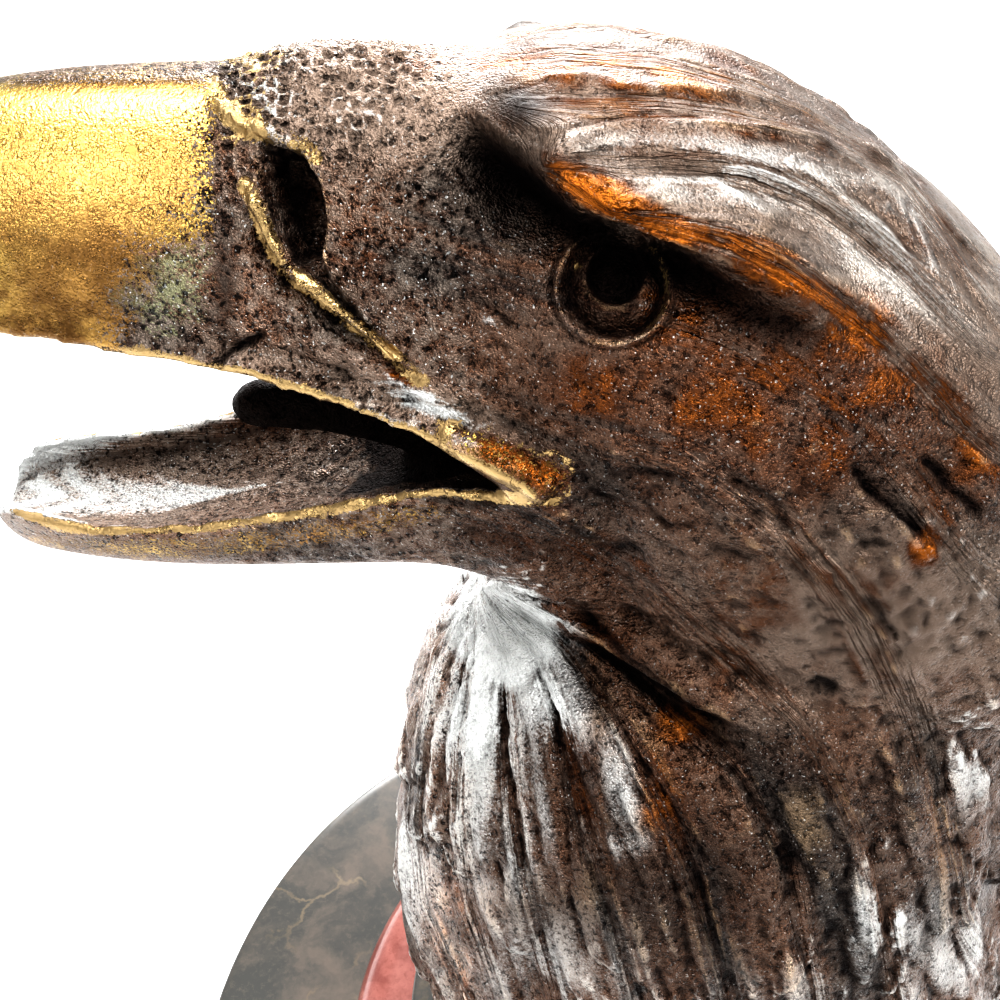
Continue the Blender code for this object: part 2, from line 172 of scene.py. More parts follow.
# Places on the face, as pixels of the photograph, carried to both sides of the head
BROW_LINE = (
    (452, 98), (471, 116), (508, 150), (545, 175), (583, 211), (637, 240), (701, 258), (749, 285),
    (790, 308), (850, 352),
)
BROW_SHADOW = ((452, 118), (480, 150), (520, 190), (560, 222), (610, 240), (660, 258), (720, 290), (790, 330))
NOSTRIL_SLIT = ((266, 140), (280, 162), (290, 192), (297, 225), (302, 256))
NOSTRIL_WIDTHS = (10, 44, 60, 56, 36)
NOSTRIL_FURROW = ((308, 250), (322, 285), (345, 315), (385, 350), (418, 378))
NOSTRIL_RIM = (
    (246, 185), (257, 205), (268, 240), (284, 268), (312, 290), (350, 322), (386, 350), (420, 380),
)
NOSTRIL_LIP = ((212, 84), (226, 114), (246, 126), (266, 132), (288, 137), (314, 156))
NOSTRIL_CREASE = ((244, 196), (256, 245), (282, 284), (318, 312), (352, 338), (392, 368), (432, 396))
EYE_CENTRE = (613, 288)
EYE_REACH = 66.0
PUPIL_CENTRE = (615, 275)
GLINT_PLACE = (577, 268)
BROW_KNOB = (526, 108)
GAPE_EDGE = (
    (0, 332), (60, 340), (120, 352), (180, 362), (240, 372), (330, 400), (420, 435), (480, 465),
    (530, 492),
)
MANDIBLE_RIM = ((20, 510), (60, 526), (100, 530), (200, 526), (300, 513), (430, 490), (530, 500))
JAW_EDGE = ((480, 578), (530, 604), (600, 640), (650, 670), (700, 700), (775, 740))


def smoothstep(low, high, value):
    share = np.clip((value - low) / (high - low), 0.0, 1.0)
    return share * share * (3.0 - 2.0 * share)


def bump(value, width):
    return np.exp(-((value / width) ** 2))


def jitter(seed):
    """A number from -0.5 to 0.5 that looks random and is always the same for this seed."""
    return math.sin(seed * 12.9898) * 43758.5453 % 1.0 - 0.5


def lattice_value(cell):
    """A number from 0 to 1 for each whole-numbered place, the same every time."""
    mixed = cell[:, 0] * 374761393 + cell[:, 1] * 668265263 + cell[:, 2] * 2147483647
    mixed = (mixed ^ (mixed >> 13)) * 1274126177
    return ((mixed ^ (mixed >> 16)) & 0xFFFF) / 65535.0


def grain(points, size, seed=0):
    """Smooth noise from -1 to 1 with features of about this size."""
    place = points / size + seed * 17.13
    base = np.floor(place).astype(np.int64)
    share = place - base
    share = share * share * (3 - 2 * share)
    total = np.zeros(len(points))
    for corner in range(8):
        step = np.array((corner & 1, corner >> 1 & 1, corner >> 2 & 1))
        weight = np.prod(np.where(step == 1, share, 1 - share), axis=1)
        total += weight * lattice_value(base + step)
    return total * 2 - 1


def layered_grain(points, layers):
    """Grain of several sizes, each layer given as its strength, size and seed."""
    return sum(strength * grain(points, size, seed) for strength, size, seed in layers)


def cells(points, size, seed=0):
    """Distances to the nearest and second nearest of scattered seeds, as shares of the size."""
    place = points / size + seed * 9.7
    base = np.floor(place).astype(np.int64)
    nearest = np.full(len(points), 9.0)
    second = np.full(len(points), 9.0)
    for dx in (-1, 0, 1):
        for dy in (-1, 0, 1):
            for dz in (-1, 0, 1):
                cell = base + (dx, dy, dz)
                spot = np.stack([lattice_value(cell + (k * 57, k * 131, k * 7)) for k in (1, 2, 3)], axis=1)
                reach = np.linalg.norm(cell + 0.15 + 0.7 * spot - place, axis=1)
                closer = reach < nearest
                second = np.where(closer, nearest, np.minimum(second, reach))
                nearest = np.where(closer, reach, nearest)
    return nearest, second


def photo_places(points):
    """Pixels where the points, all taken to the near side, stand in the photograph, and pixels per unit."""
    near = points.copy()
    near[:, 1] = -np.abs(near[:, 1])
    away = near + (0, 0, SEAT) - CAMERA_PLACE
    cosine, sine = math.cos(CAMERA_TILT), math.sin(CAMERA_TILT)
    depth = np.maximum(cosine * away[:, 1] - sine * away[:, 2], 1.0)
    rise = sine * away[:, 1] + cosine * away[:, 2]
    scale = CAMERA_FOCUS / depth
    middle = PICTURE_WIDTH / 2
    return np.stack((middle + away[:, 0] * scale, middle - rise * scale), axis=1), scale


def follow(places, path):
    """For each place: its distance from a path, its share along the path, and its side, over 0 below it."""
    knots = np.array(path, float)
    best = np.full(len(places), 1e9)
    along = np.zeros(len(places))
    side = np.zeros(len(places))
    for k, (start, end) in enumerate(zip(knots, knots[1:])):
        run = end - start
        share = np.clip((places - start) @ run / (run @ run), 0, 1)
        off = places - start - share[:, None] * run
        reach = np.hypot(off[:, 0], off[:, 1])
        closer = reach < best
        best = np.where(closer, reach, best)
        along = np.where(closer, (k + share) / (len(knots) - 1), along)
        side = np.where(closer, np.sign(run[0] * off[:, 1] - run[1] * off[:, 0]), side)
    return best, along, side


def smooth_rows(rows):
    """The rows with more between them, on a smooth curve through every one."""
    knots = np.array(rows, float)
    padded = np.vstack((2 * knots[0] - knots[1], knots, 2 * knots[-1] - knots[-2]))
    found = []
    for before, start, end, after in zip(padded, padded[1:], padded[2:], padded[3:]):
        for step in range(STEPS_BETWEEN):
            t = step / STEPS_BETWEEN
            curve = 2 * start + (end - before) * t + (2 * before - 5 * start + 4 * end - after) * t * t
            found.append((curve + (3 * (start - end) + after - before) * t**3) / 2)
    found.append(knots[-1])
    return found


def rise(reach, lift):
    """Share of the height that a ring gains at this lift: a swelling, or a hollow where reach is negative."""
    return reach * (lift if reach > 0 else lift * lift)


def section(top, low, half_width, belly, up, down, square):
    """Places round one ring, widest at the belly, which is a share of the way from low to top."""
    top, low = Vector(top), Vector(low)
    places = []
    for step in range(SECTION_POINTS):
        angle = 2.0 * math.pi * step / SECTION_POINTS
        side, lift = math.cos(angle), math.sin(angle)
        share = belly + rise(up, lift) if lift >= 0 else belly - rise(down, -lift)
        place = low.lerp(top, share)
        place.y += half_width * math.copysign(abs(side) ** square, side)
        places.append(place)
    return places


def add_loft(mesh, rings):
    """Bridges a row of rings and closes both ends."""
    loops = []
    for places in rings:
        made = bmesh.ops.create_circle(mesh, cap_ends=False, radius=1.0, segments=len(places))["verts"]
        for vert, place in zip(made, places):
            vert.co = place
        loops.append(list({edge for vert in made for edge in vert.link_edges}))
    for near, far in zip(loops, loops[1:]):
        bmesh.ops.bridge_loops(mesh, edges=near + far)
    for end in (loops[0], loops[-1]):
        bmesh.ops.edgeloop_fill(mesh, edges=end)


def add_shell(mesh, stations, shape):
    belly, up, down, square = shape
    rows = smooth_rows(stations)
    rings = [
        section((xt, 0, zt), (xl, 0, zl), half, belly, up, down, square) for xt, zt, xl, zl, half in rows
    ]
    add_loft(mesh, rings)


def add_skull(mesh):
    rings = [
        section((xt, 0, zt), (xl, 0, zl), half, belly, 1 - belly, down, square)
        for xt, zt, xl, zl, half, belly, down, square in smooth_rows(SKULL_STATIONS)
    ]
    add_loft(mesh, rings)


def add_tongue(mesh):
    rows = smooth_rows(TONGUE_STATIONS)
    add_loft(mesh, [section((x, 0, z + r), (x, 0, z - r), r, 0.5, 0.5, 0.5, 1.0) for x, z, r in rows])


def add_bead(mesh, path):
    """A round bead along a path of x, y, z and radius, on both sides of the head."""
    rows = smooth_rows(path)
    for mirrored in (1, -1):
        places = [Vector((x, y * mirrored, z)) for x, y, z, _ in rows]
        rings = []
        for k, place in enumerate(places):
            run = (places[min(k + 1, len(places) - 1)] - places[max(k - 1, 0)]).normalized()
            side = run.cross(Vector((0, 0, 1))).normalized()
            up = side.cross(run)
            turns = [2 * math.pi * step / 12 for step in range(12)]
            rings.append([place + (side * math.cos(a) + up * math.sin(a)) * rows[k][3] for a in turns])
        add_loft(mesh, rings)


def add_rims(mesh):
    """The beads along both cutting edges and the mandible's rim, and the fleshy corners of the mouth."""
    edge = [(xl, half - 0.5, zl + 0.5, 1.35) for _, _, xl, zl, half in reversed(BILL_STATIONS[:-1])]
    edge += [(row[2], row[4] - 0.5, row[3] + 0.5, 1.4) for row in SKULL_STATIONS[:4]]
    add_bead(mesh, edge + list(MOUTH_CORNER))
    add_bead(mesh, CHEEK_PAD)
    add_bead(mesh, [(xt, half - 0.8, zt - 0.8, 1.5) for xt, zt, _, _, half in MANDIBLE_STATIONS[1:-1]])


def add_neck(mesh):
    rings = []
    for height, front, back, half in smooth_rows(NECK_STATIONS):
        middle, reach = (front + back) / 2, (back - front) / 2
        angles = [2.0 * math.pi * step / SECTION_POINTS for step in range(SECTION_POINTS)]
        rings.append([Vector((middle + reach * math.cos(a), half * math.sin(a), height)) for a in angles])
    add_loft(mesh, rings)


def mesh_object(name, mesh):
    data = bpy.data.meshes.new(name)
    mesh.to_mesh(data)
    mesh.free()
    piece = bpy.data.objects.new(name, data)
    bpy.context.scene.collection.objects.link(piece)
    return piece


def voxel_skin(piece, size):
    """Makes the piece one closed skin of even faces."""
    remesh = piece.modifiers.new("fuse", "REMESH")
    remesh.mode = "VOXEL"
    remesh.voxel_size = size
    graph = bpy.context.evaluated_depsgraph_get()
    fused = bpy.data.meshes.new_from_object(piece.evaluated_get(graph))
    piece.modifiers.clear()
    piece.data = fused


def thin_skin(piece, most):
    """Collapses the flattest faces until the piece has at most this many triangles."""
    piece.data.calc_loop_triangles()
    thin = piece.modifiers.new("thin", "DECIMATE")
    thin.ratio = min(1.0, most / len(piece.data.loop_triangles))
    thin.use_collapse_triangulate = True
    graph = bpy.context.evaluated_depsgraph_get()
    thinned = bpy.data.meshes.new_from_object(piece.evaluated_get(graph))
    piece.modifiers.clear()
    piece.data = thinned


def points_of(data):
    flat = np.empty(len(data.vertices) * 3)
    data.vertices.foreach_get("co", flat)
    return flat.reshape(-1, 3)


def normals_of(data):
    flat = np.empty(len(data.vertices) * 3)
    data.vertices.foreach_get("normal", flat)
    return flat.reshape(-1, 3)


def put_points(data, points):
    data.vertices.foreach_set("co", points.ravel())
    data.update()


def lift_skin(data, amount):
    """Moves each point out along its normal."""
    put_points(data, points_of(data) + normals_of(data) * amount[:, None])


class Neighbours:
    """Averages a value over each point's neighbours."""

    def __init__(self, data):
        flat = np.empty(len(data.edges) * 2, np.int64)
        data.edges.foreach_get("vertices", flat)
        self.first, self.second = flat.reshape(-1, 2).T
        self.size = len(data.vertices)
        self.count = np.bincount(flat, minlength=self.size)

    def mean(self, values):
        total = np.bincount(self.first, values[self.second], self.size)
        total += np.bincount(self.second, values[self.first], self.size)
        return total / self.count


def relax(data, rounds, share, swell=0.0, where=None):
    """Evens the skin: each point moves towards the middle of its neighbours, and back out by swell."""
    near = Neighbours(data)
    points = points_of(data)
    weight = 1.0 if where is None else where[:, None]
    for _ in range(rounds):
        for pull in (share, -swell):
            middle = np.stack([near.mean(points[:, axis]) for axis in range(3)], axis=1)
            points += (middle - points) * pull * weight
    put_points(data, points)


# Flow of the plumage over the head and neck, as pixels of the photograph, from the crown to the throat
FLOW_GUIDES = (
    ((430, 50), (560, 36), (660, 44), (760, 78), (880, 146), (1000, 262)), ((452, 88), (560, 74),
    (680, 82), (800, 117), (900, 182), (1000, 300)), ((543, 165), (575, 143), (634, 130), (721, 128),
    (813, 143), (900, 185), (1000, 330)), ((545, 167), (610, 202), (666, 200), (740, 204), (800, 230),
    (880, 290), (1000, 400)), ((471, 116), (545, 173), (609, 227), (701, 258), (784, 302), (880, 372),
    (1000, 520)), ((300, 300), (430, 340), (560, 385), (700, 405), (840, 470), (930, 590), (985, 760),
    (1000, 900)), ((430, 435), (560, 500), (660, 545), (770, 630), (850, 740), (910, 880), (935, 1000)),
    ((480, 578), (600, 640), (700, 705), (775, 745), (835, 850), (862, 1000)), ((484, 585), (560, 625),
    (640, 700), (700, 780), (745, 870), (775, 1000)), ((482, 588), (545, 640), (580, 700), (605, 780),
    (640, 870), (680, 1000)), ((480, 590), (520, 650), (535, 720), (545, 800), (560, 890), (590, 1000)),
    ((478, 592), (490, 660), (480, 740), (478, 820), (490, 900), (520, 1000)), ((474, 592), (450, 660),
    (435, 740), (430, 820), (440, 900), (480, 1000)), ((468, 590), (425, 650), (405, 740), (398, 830),
    (405, 900), (450, 1000)),
)
# Sharp ridges over the brow: path, half width in pixels and height
BROW_RIDGES = (
    (((451, 89), (494, 84), (526, 89), (551, 82), (589, 79), (620, 88), (660, 87), (740, 96), (830, 130)),
    6, 0.45), (((543, 165), (558, 156), (570, 144), (596, 136), (653, 128), (717, 128), (765, 132),
    (876, 154), (950, 205)), 6, 0.8), (((609, 192), (628, 203), (644, 203), (656, 194), (672, 186),
    (714, 184), (739, 202), (768, 219), (800, 228)), 6, 0.7), (((545, 167), (567, 183), (596, 199),
    (647, 208), (685, 227), (727, 232), (774, 256), (832, 302), (900, 345)), 6, 0.7), (((575, 170),
    (600, 166), (640, 160), (690, 158), (740, 166)), 5, 0.4), (((700, 165), (760, 172), (830, 205),
    (900, 260), (960, 320)), 6, 0.4), (((620, 60), (700, 66), (790, 98), (880, 155), (960, 240)), 6, 0.4),
)

# Tiers of pointed locks round the neck: height of the tips, how many, and how long each lock is
LOCK_TIERS = ((8.0, 22, 60.0), (44.0, 23, 64.0), (84.0, 23, 62.0), (122.0, 22, 52.0))
LOCK_DEPTH = 3.6
LOCK_SPREAD = 1.35
LOCK_RAGGED = 14.0
LOCK_SWAY = 0.35
LOCK_TIP = 0.38
LOCK_SINK = 0.35
LOCK_FADE_ABOVE = (128.0, 164.0)
LOCK_FADE_BELOW = (2.0, 12.0)

# Plume down the front of the throat: its lowest tip's height, its strands, and their spacing in radians
PLUME_TIP = 112.0
PLUME_COUNT = 9
PLUME_LENGTH = 62.0
PLUME_STEP = 0.26
PLUME_WIDTH = 0.30
PLUME_LIFT = 2.6
PLUME_RISE = 22.0
PLUME_FADE_ABOVE = (150.0, 176.0)


class Skin:
    """The bust's points with what the carving reads: normals, places in the photograph, facing the camera."""

    def __init__(self, data):
        self.data = data
        self.restart()

    def restart(self):
        """Reads a mesh that has other points than before."""
        self.network = np.zeros(len(self.data.vertices))
        self.cracks = np.zeros(len(self.data.vertices))
        self.strands = np.zeros(len(self.data.vertices))
        self.crests = np.zeros(len(self.data.vertices))
        self.read()

    def read(self):
        self.points = points_of(self.data)
        self.normals = normals_of(self.data)
        self.pixels, self.scale = photo_places(self.points)
        near = self.points.copy()
        near[:, 1] = -np.abs(near[:, 1])
        away = near + (0, 0, SEAT) - CAMERA_PLACE
        away /= np.linalg.norm(away, axis=1)[:, None]
        self.sides = np.stack((np.ones(len(near)), -np.sign(self.points[:, 1]), np.ones(len(near))), axis=1)
        self.outward = self.normals * self.sides
        self.facing = -(away * self.outward).sum(axis=1)
        self.seen = smoothstep(0.02, 0.25, self.facing)

    def lift(self, amount):
        """Moves the points out along their normals."""
        lift_skin(self.data, amount)
        self.read()

    def shift(self, way, amount):
        """Moves the points one way on the near side and the mirrored way on the far side."""
        put_points(self.data, self.points + way * self.sides * amount[:, None])
        self.read()


def lock_relief(azimuth, height, centre, tip, length, width):
    """How far one lock stands out: pointed at its tip, round across, sunk at its root, grooved in strands."""
    along = (height - tip) / length
    across = (azimuth - centre + math.pi) % (2 * math.pi) - math.pi
    across = 2 * across / (width * LOCK_SPREAD) + LOCK_SWAY * width * along
    outline = np.sqrt(np.clip(along / LOCK_TIP, 0, 1))
    inside = (along > 0) & (along < 1) & (np.abs(across) < outline)
    within = across / np.maximum(outline, 0.01)
    swell = np.sqrt(np.clip(1 - within**2, 0, 1))
    strands = 0.09 * np.cos(within * 11 + 2 * np.sin(along * 9 + centre * 40)) * (1 - along)
    shaft = 0.08 * bump(within, 0.1)
    return np.where(inside, (1 + 2 * swell) / 3 * (1 - along) + strands + shaft, 0.0)


def carve_locks(skin):
    """Tiers of overlapping locks round the neck, each dropping away at its ragged tip."""
    height = skin.points[:, 2]
    azimuth = np.arctan2(skin.points[:, 1], skin.points[:, 0])
    relief = np.zeros(len(height))
    for tier, (tip, count, length) in enumerate(LOCK_TIERS):
        width = 2 * math.pi / count
        for k in range(count):
            seed = 100 * tier + k + 1
            centre = (k + 0.5 * (tier % 2) + 0.4 * jitter(seed)) * width
            low = tip + LOCK_RAGGED * jitter(seed + 0.37)
            relief = np.maximum(relief, lock_relief(azimuth, height, centre, low, length, width))
    fade = (1 - smoothstep(*LOCK_FADE_ABOVE, height)) * smoothstep(*LOCK_FADE_BELOW, height)
    skin.lift((relief - LOCK_SINK) * LOCK_DEPTH * fade)


def carve_plume(skin):
    """Long strands that fall from the throat down the front of the neck, over the tiers."""
    fan = np.arctan2(skin.points[:, 1], -skin.points[:, 0])
    height = skin.points[:, 2]
    relief = np.zeros(len(height))
    for k in range(PLUME_COUNT):
        place = k - (PLUME_COUNT - 1) / 2
        centre = place * PLUME_STEP + PLUME_STEP * jitter(k + 700) / 4
        low = PLUME_TIP + PLUME_RISE * abs(place) / PLUME_COUNT + LOCK_RAGGED * jitter(k + 800)
        relief = np.maximum(relief, lock_relief(fan, height, centre, low, PLUME_LENGTH, PLUME_WIDTH))
    fade = 1 - smoothstep(*PLUME_FADE_ABOVE, height)
    skin.lift(relief * PLUME_LIFT * fade)


def ends_fade(along, share=0.12):
    return smoothstep(0, share, along) * smoothstep(1, 1 - share, along)


def carve_brow(skin):
    """The brow's ledge, which hangs over the eye, and the deep hollow under it."""
    reach, along, side = follow(skin.pixels, BROW_LINE)
    fade = smoothstep(0, 0.34, along) * smoothstep(1, 0.85, along) * skin.seen
    over = np.where(side < 0, 1 - smoothstep(6, 90, reach), 1 - smoothstep(0, 9, reach))
    skin.lift(over * fade * 5.4)
    reach, along, side = follow(skin.pixels, BROW_SHADOW)
    under = np.where(side < 0, 1 - smoothstep(0, 16, reach), 1 - smoothstep(6, 60, reach))
    front = 1 + 0.25 * (1 - smoothstep(0.3, 0.5, along))
    skin.lift(-under * front * smoothstep(0, 0.28, along) * smoothstep(1, 0.75, along) * skin.seen * 4.6)
    reach, _, _ = follow(skin.pixels, BROW_LINE)
    relax(skin.data, 4, 0.5, 0.3, (1 - smoothstep(16, 34, reach)) * skin.seen)
    skin.read()


def carve_jaw(skin):
    """The jaw's edge over the hollow where the plume starts."""
    reach, along, side = follow(skin.pixels, JAW_EDGE)
    fade = ends_fade(along, 0.18) * skin.seen
    edge = np.where(side < 0, 1 - smoothstep(2, 60, reach), 1 - smoothstep(0, 10, reach))
    hollow = np.where(side > 0, smoothstep(2, 16, reach) * (1 - smoothstep(20, 80, reach)), 0)
    skin.lift((edge * 2.0 - hollow * 4.2) * fade)


def carve_nostril(skin):
    """The deep slit, the furrow that runs down from it, its lips and the crease outside it."""
    reach, along, _ = follow(skin.pixels, NOSTRIL_SLIT)
    half = np.interp(along, np.linspace(0, 1, len(NOSTRIL_WIDTHS)), NOSTRIL_WIDTHS) / 2
    slit = (1 - smoothstep(half * 0.6, half + 4, reach)) * smoothstep(2, 12, half)
    reach, along, _ = follow(skin.pixels, NOSTRIL_FURROW)
    furrow = (1 - smoothstep(2, 16 - 7 * along, reach)) * (1 - 0.8 * along)
    skin.lift(-(slit * 7.5 + furrow * 2.6 * (1 - slit)) * skin.seen)
    reach, along, _ = follow(skin.pixels, NOSTRIL_RIM)
    rim = bump(reach, 8.5 - 3 * along) * smoothstep(0, 0.12, along) * smoothstep(1.0, 0.85, along)
    skin.lift(rim * 1.6 * (1 + 0.35 * grain(skin.points, 3.0, 52)) * skin.seen)
    reach, along, _ = follow(skin.pixels, NOSTRIL_LIP)
    uneven = 1 + 0.6 * grain(skin.points, 2.4, 51)
    skin.lift(bump(reach, 9.0) * ends_fade(along, 0.2) * 0.9 * uneven * skin.seen)
    reach, along, _ = follow(skin.pixels, NOSTRIL_CREASE)
    crease = bump(reach, 6.5) * ends_fade(along, 0.2)
    skin.lift(-crease * 2.0 * skin.seen)


# Profile of the eye from its middle outwards: share of its reach, and height over the socket's plane
EYE_PROFILE = (
    (0.0, 1.7), (0.3, 1.4), (0.5, 0.7), (0.62, -0.2), (0.7, -1.3), (0.78, -0.9), (0.85, 0.9), (0.9, 0.8),
    (0.97, -0.3), (1.0, 0.0),
)


def carve_eye(skin):
    """The socket laid flat, with a lid ring, an eyeball sunk inside it, and a hollow pupil."""
    off = skin.pixels - EYE_CENTRE
    reach = np.hypot(off[:, 0], off[:, 1] * 1.04) / EYE_REACH
    near = np.stack((skin.points[:, 0], -np.abs(skin.points[:, 1]), skin.points[:, 2]), axis=1)
    socket = (reach < 1.0) & (skin.facing > 0.1)
    normal = skin.outward[socket].mean(axis=0)
    normal /= np.linalg.norm(normal)
    middle = near[(reach < 0.9) & (skin.facing > 0.1)].mean(axis=0)
    height = (near - middle) @ normal
    shares, heights = zip(*EYE_PROFILE)
    wanted = np.interp(reach, shares, heights) - 0.6
    pupil_off = skin.pixels - PUPIL_CENTRE
    pupil_reach = np.hypot(pupil_off[:, 0], pupil_off[:, 1])
    wanted -= (1 - smoothstep(24, 31, pupil_reach)) * 3.4
    brow_reach, _, side = follow(skin.pixels, BROW_LINE)
    clear = np.where(side > 0, smoothstep(2, 14, brow_reach), 0.0)
    share = (1 - smoothstep(0.92, 1.12, reach)) * smoothstep(0.0, 0.1, skin.facing) * clear
    skin.shift(normal, (wanted - height) * share * (np.abs(height) < 12))


# Fleshy flange at the mouth's corner, as patches on the photograph
GAPE_FLANGE = ((500, 456, 56, 18, 27, 1.1), (546, 478, 24, 22, 0, 1.1))


def carve_gape(skin):
    """The lip along the cutting edge, a groove above it, and the fleshy corner of the mouth."""
    reach, along, side = follow(skin.pixels, GAPE_EDGE)
    above = np.where(side < 0, reach, -reach)
    lip = bump(above - 6, 7.0) * (0.25 + 0.75 * smoothstep(0.15, 0.5, along))
    groove = bump(above - 26, 9.0) * smoothstep(0.3, 0.6, along)
    flange = patches(skin, GAPE_FLANGE)
    outer = skin.seen * smoothstep(0.0, 0.3, -skin.outward[:, 1])
    skin.lift((lip * 0.8 - groove * 0.9 + flange * 1.6) * outer)


def faces_in(mesh, wanted):
    return [face for face in mesh.faces if all(wanted[vert.index] for vert in face.verts)]


def refine(data, wanted):
    """Splits the edges of the wanted faces in two."""
    mesh = bmesh.new()
    mesh.from_mesh(data)
    mesh.verts.ensure_lookup_table()
    chosen = list({edge for face in faces_in(mesh, wanted) for edge in face.edges})
    bmesh.ops.subdivide_edges(mesh, edges=chosen, cuts=1, use_grid_fill=True, smooth=0.0)
    wide = [face for face in mesh.faces if len(face.verts) > 4]
    bmesh.ops.triangulate(mesh, faces=wide)
    mesh.to_mesh(data)
    mesh.free()


def in_window(pixels, window):
    left, right, top, bottom = window
    x, y = pixels.T
    return (x > left) & (x < right) & (y > top) & (y < bottom)


def flow_heading(place, guides):
    """Direction of the plumage at a place of the photograph."""
    heading = np.zeros(2)
    for guide in guides:
        runs = guide[1:] - guide[:-1]
        share = np.clip(((place - guide[:-1]) * runs).sum(1) / (runs**2).sum(1), 0, 1)
        off = place - guide[:-1] - share[:, None] * runs
        nearest = np.argmin((off**2).sum(1))
        run = runs[nearest]
        heading += run / np.linalg.norm(run) / ((off[nearest] ** 2).sum() + 60) ** 1.5
    return heading / np.linalg.norm(heading)


def strand_relief(pixels, starts, length, half_width, blunt=0.0, step=9.0):
    """Many long tapering ridges that follow the plumage from their starts; the highest counts at a place."""
    guides = [np.array(guide, float) for guide in FLOW_GUIDES]
    relief = np.zeros(len(pixels))
    for number, start in enumerate(starts):
        place = np.array(start, float)
        path = [place]
        for _ in range(int(length * (0.65 + 0.7 * (jitter(number * 3.1 + 5) + 0.5)) / step)):
            place = place + flow_heading(place, guides) * step
            path.append(place)
        if len(path) < 3:
            continue
        path = np.array(path)
        wide = half_width * (0.65 + 0.7 * (jitter(number * 7.7 + 2) + 0.5))
        low, high = path.min(0) - wide, path.max(0) + wide
        inside = np.flatnonzero(((pixels > low) & (pixels < high)).all(axis=1))
        if not len(inside):
            continue
        reach, along, side = follow(pixels[inside], path)
        slim = np.sin(np.clip(along * 0.97 + 0.03, 0, 1) ** 0.6 * math.pi) ** 0.6
        leaf = smoothstep(0, 0.5, along) * np.sqrt(np.clip(1 - along, 0, 1) * 4).clip(0, 1)
        taper = slim * (1 - blunt) + leaf * blunt
        breadth = wide * taper + 0.5
        across = np.clip(reach / breadth, 0, 1)
        ridge = np.sqrt(1 - across**2) * (0.8 + 0.2 * side * across) * taper
        relief[inside] = np.maximum(relief[inside], ridge * (0.6 + 0.4 * (jitter(number * 1.7) + 0.5)))
    return relief


def scattered(window, count, seed):
    left, right, top, bottom = window
    found = []
    for k in range(count):
        x = left + (jitter(seed + k * 1.37) + 0.5) * (right - left)
        y = top + (jitter(seed + 0.5 + k * 2.11) + 0.5) * (bottom - top)
        found.append((x, y))
    return found


def carve_crown(skin):
    """Strands that sweep back from the forehead, with a few sharp ridges over the brow."""
    reach, _, side = follow(skin.pixels, BROW_LINE)
    above = np.where((side < 0) | (skin.pixels[:, 1] < 120), 1.0, 0.0) * smoothstep(4, 24, reach)
    zone = above * smoothstep(465, 540, skin.pixels[:, 0]) * smoothstep(-0.15, 0.1, skin.facing)
    relief = strand_relief(skin.pixels, scattered(CROWN_WINDOW, 120, 11.0), 230, 14)
    fine = strand_relief(skin.pixels, scattered(CROWN_WINDOW, 300, 71.0), 130, 5)
    skin.strands = np.maximum(skin.strands, (0.7 * relief + 0.3 * fine) * zone)
    knob = np.hypot(skin.pixels[:, 0] - BROW_KNOB[0], (skin.pixels[:, 1] - BROW_KNOB[1]) * 1.3)
    zone *= smoothstep(12, 34, knob)
    lift = ((relief - 0.4) * 0.8 + (fine - 0.3) * 0.3) * zone + bump(knob, 20) * 0.9 * skin.seen
    for path, width, height in BROW_RIDGES:
        reach, along, _ = follow(skin.pixels, path)
        fade = ends_fade(along, 0.15) * skin.seen * smoothstep(-0.5, 0.3, grain(skin.points, 8.0, width + 21))
        skin.crests = np.maximum(skin.crests, bump(reach, width * 0.6) * fade * (0.5 + 0.7 * height))
        lift += bump(reach, width) * fade * height
    skin.lift(lift)


def carve_throat(skin):
    """The plume's strands, which fan out from under the jaw, and the tier below them."""
    reach, _, side = follow(skin.pixels, JAW_EDGE)
    below = np.where(side > 0, smoothstep(0, 14, reach), 0.0) * (1 - smoothstep(740, 850, skin.pixels[:, 0]))
    below = below * smoothstep(-0.1, 0.1, skin.facing) * smoothstep(570, 600, skin.pixels[:, 1])
    roots = [(480 + 10 * jitter(k + 0.3), 588 + 12 * jitter(k)) for k in range(16)]
    roots += [(484 + k * 9, 590 + k * 6.5 + 6 * jitter(k + 5)) for k in range(26)]
    broad = strand_relief(skin.pixels, roots, 255, 15, 0.9)
    middle = strand_relief(skin.pixels, scattered(PLUME_MIDDLE_WINDOW, 70, 21.0), 120, 9, 0.5)
    upper = np.maximum(broad, 0.85 * middle)
    lower = strand_relief(skin.pixels, scattered(PLUME_LOWER_WINDOW, 60, 41.0), 150, 13, 0.6)
    fine = strand_relief(skin.pixels, scattered(PLUME_WINDOW, 300, 31.0), 100, 4.5)
    mass = np.maximum(upper * 1.9, lower * 1.2)
    shown = np.clip(np.maximum(upper, lower) * 0.8 + fine * 0.3, 0, 1)
    skin.strands = np.maximum(skin.strands, shown * below)
    skin.lift((mass - 0.8 + fine * 0.7) * below)


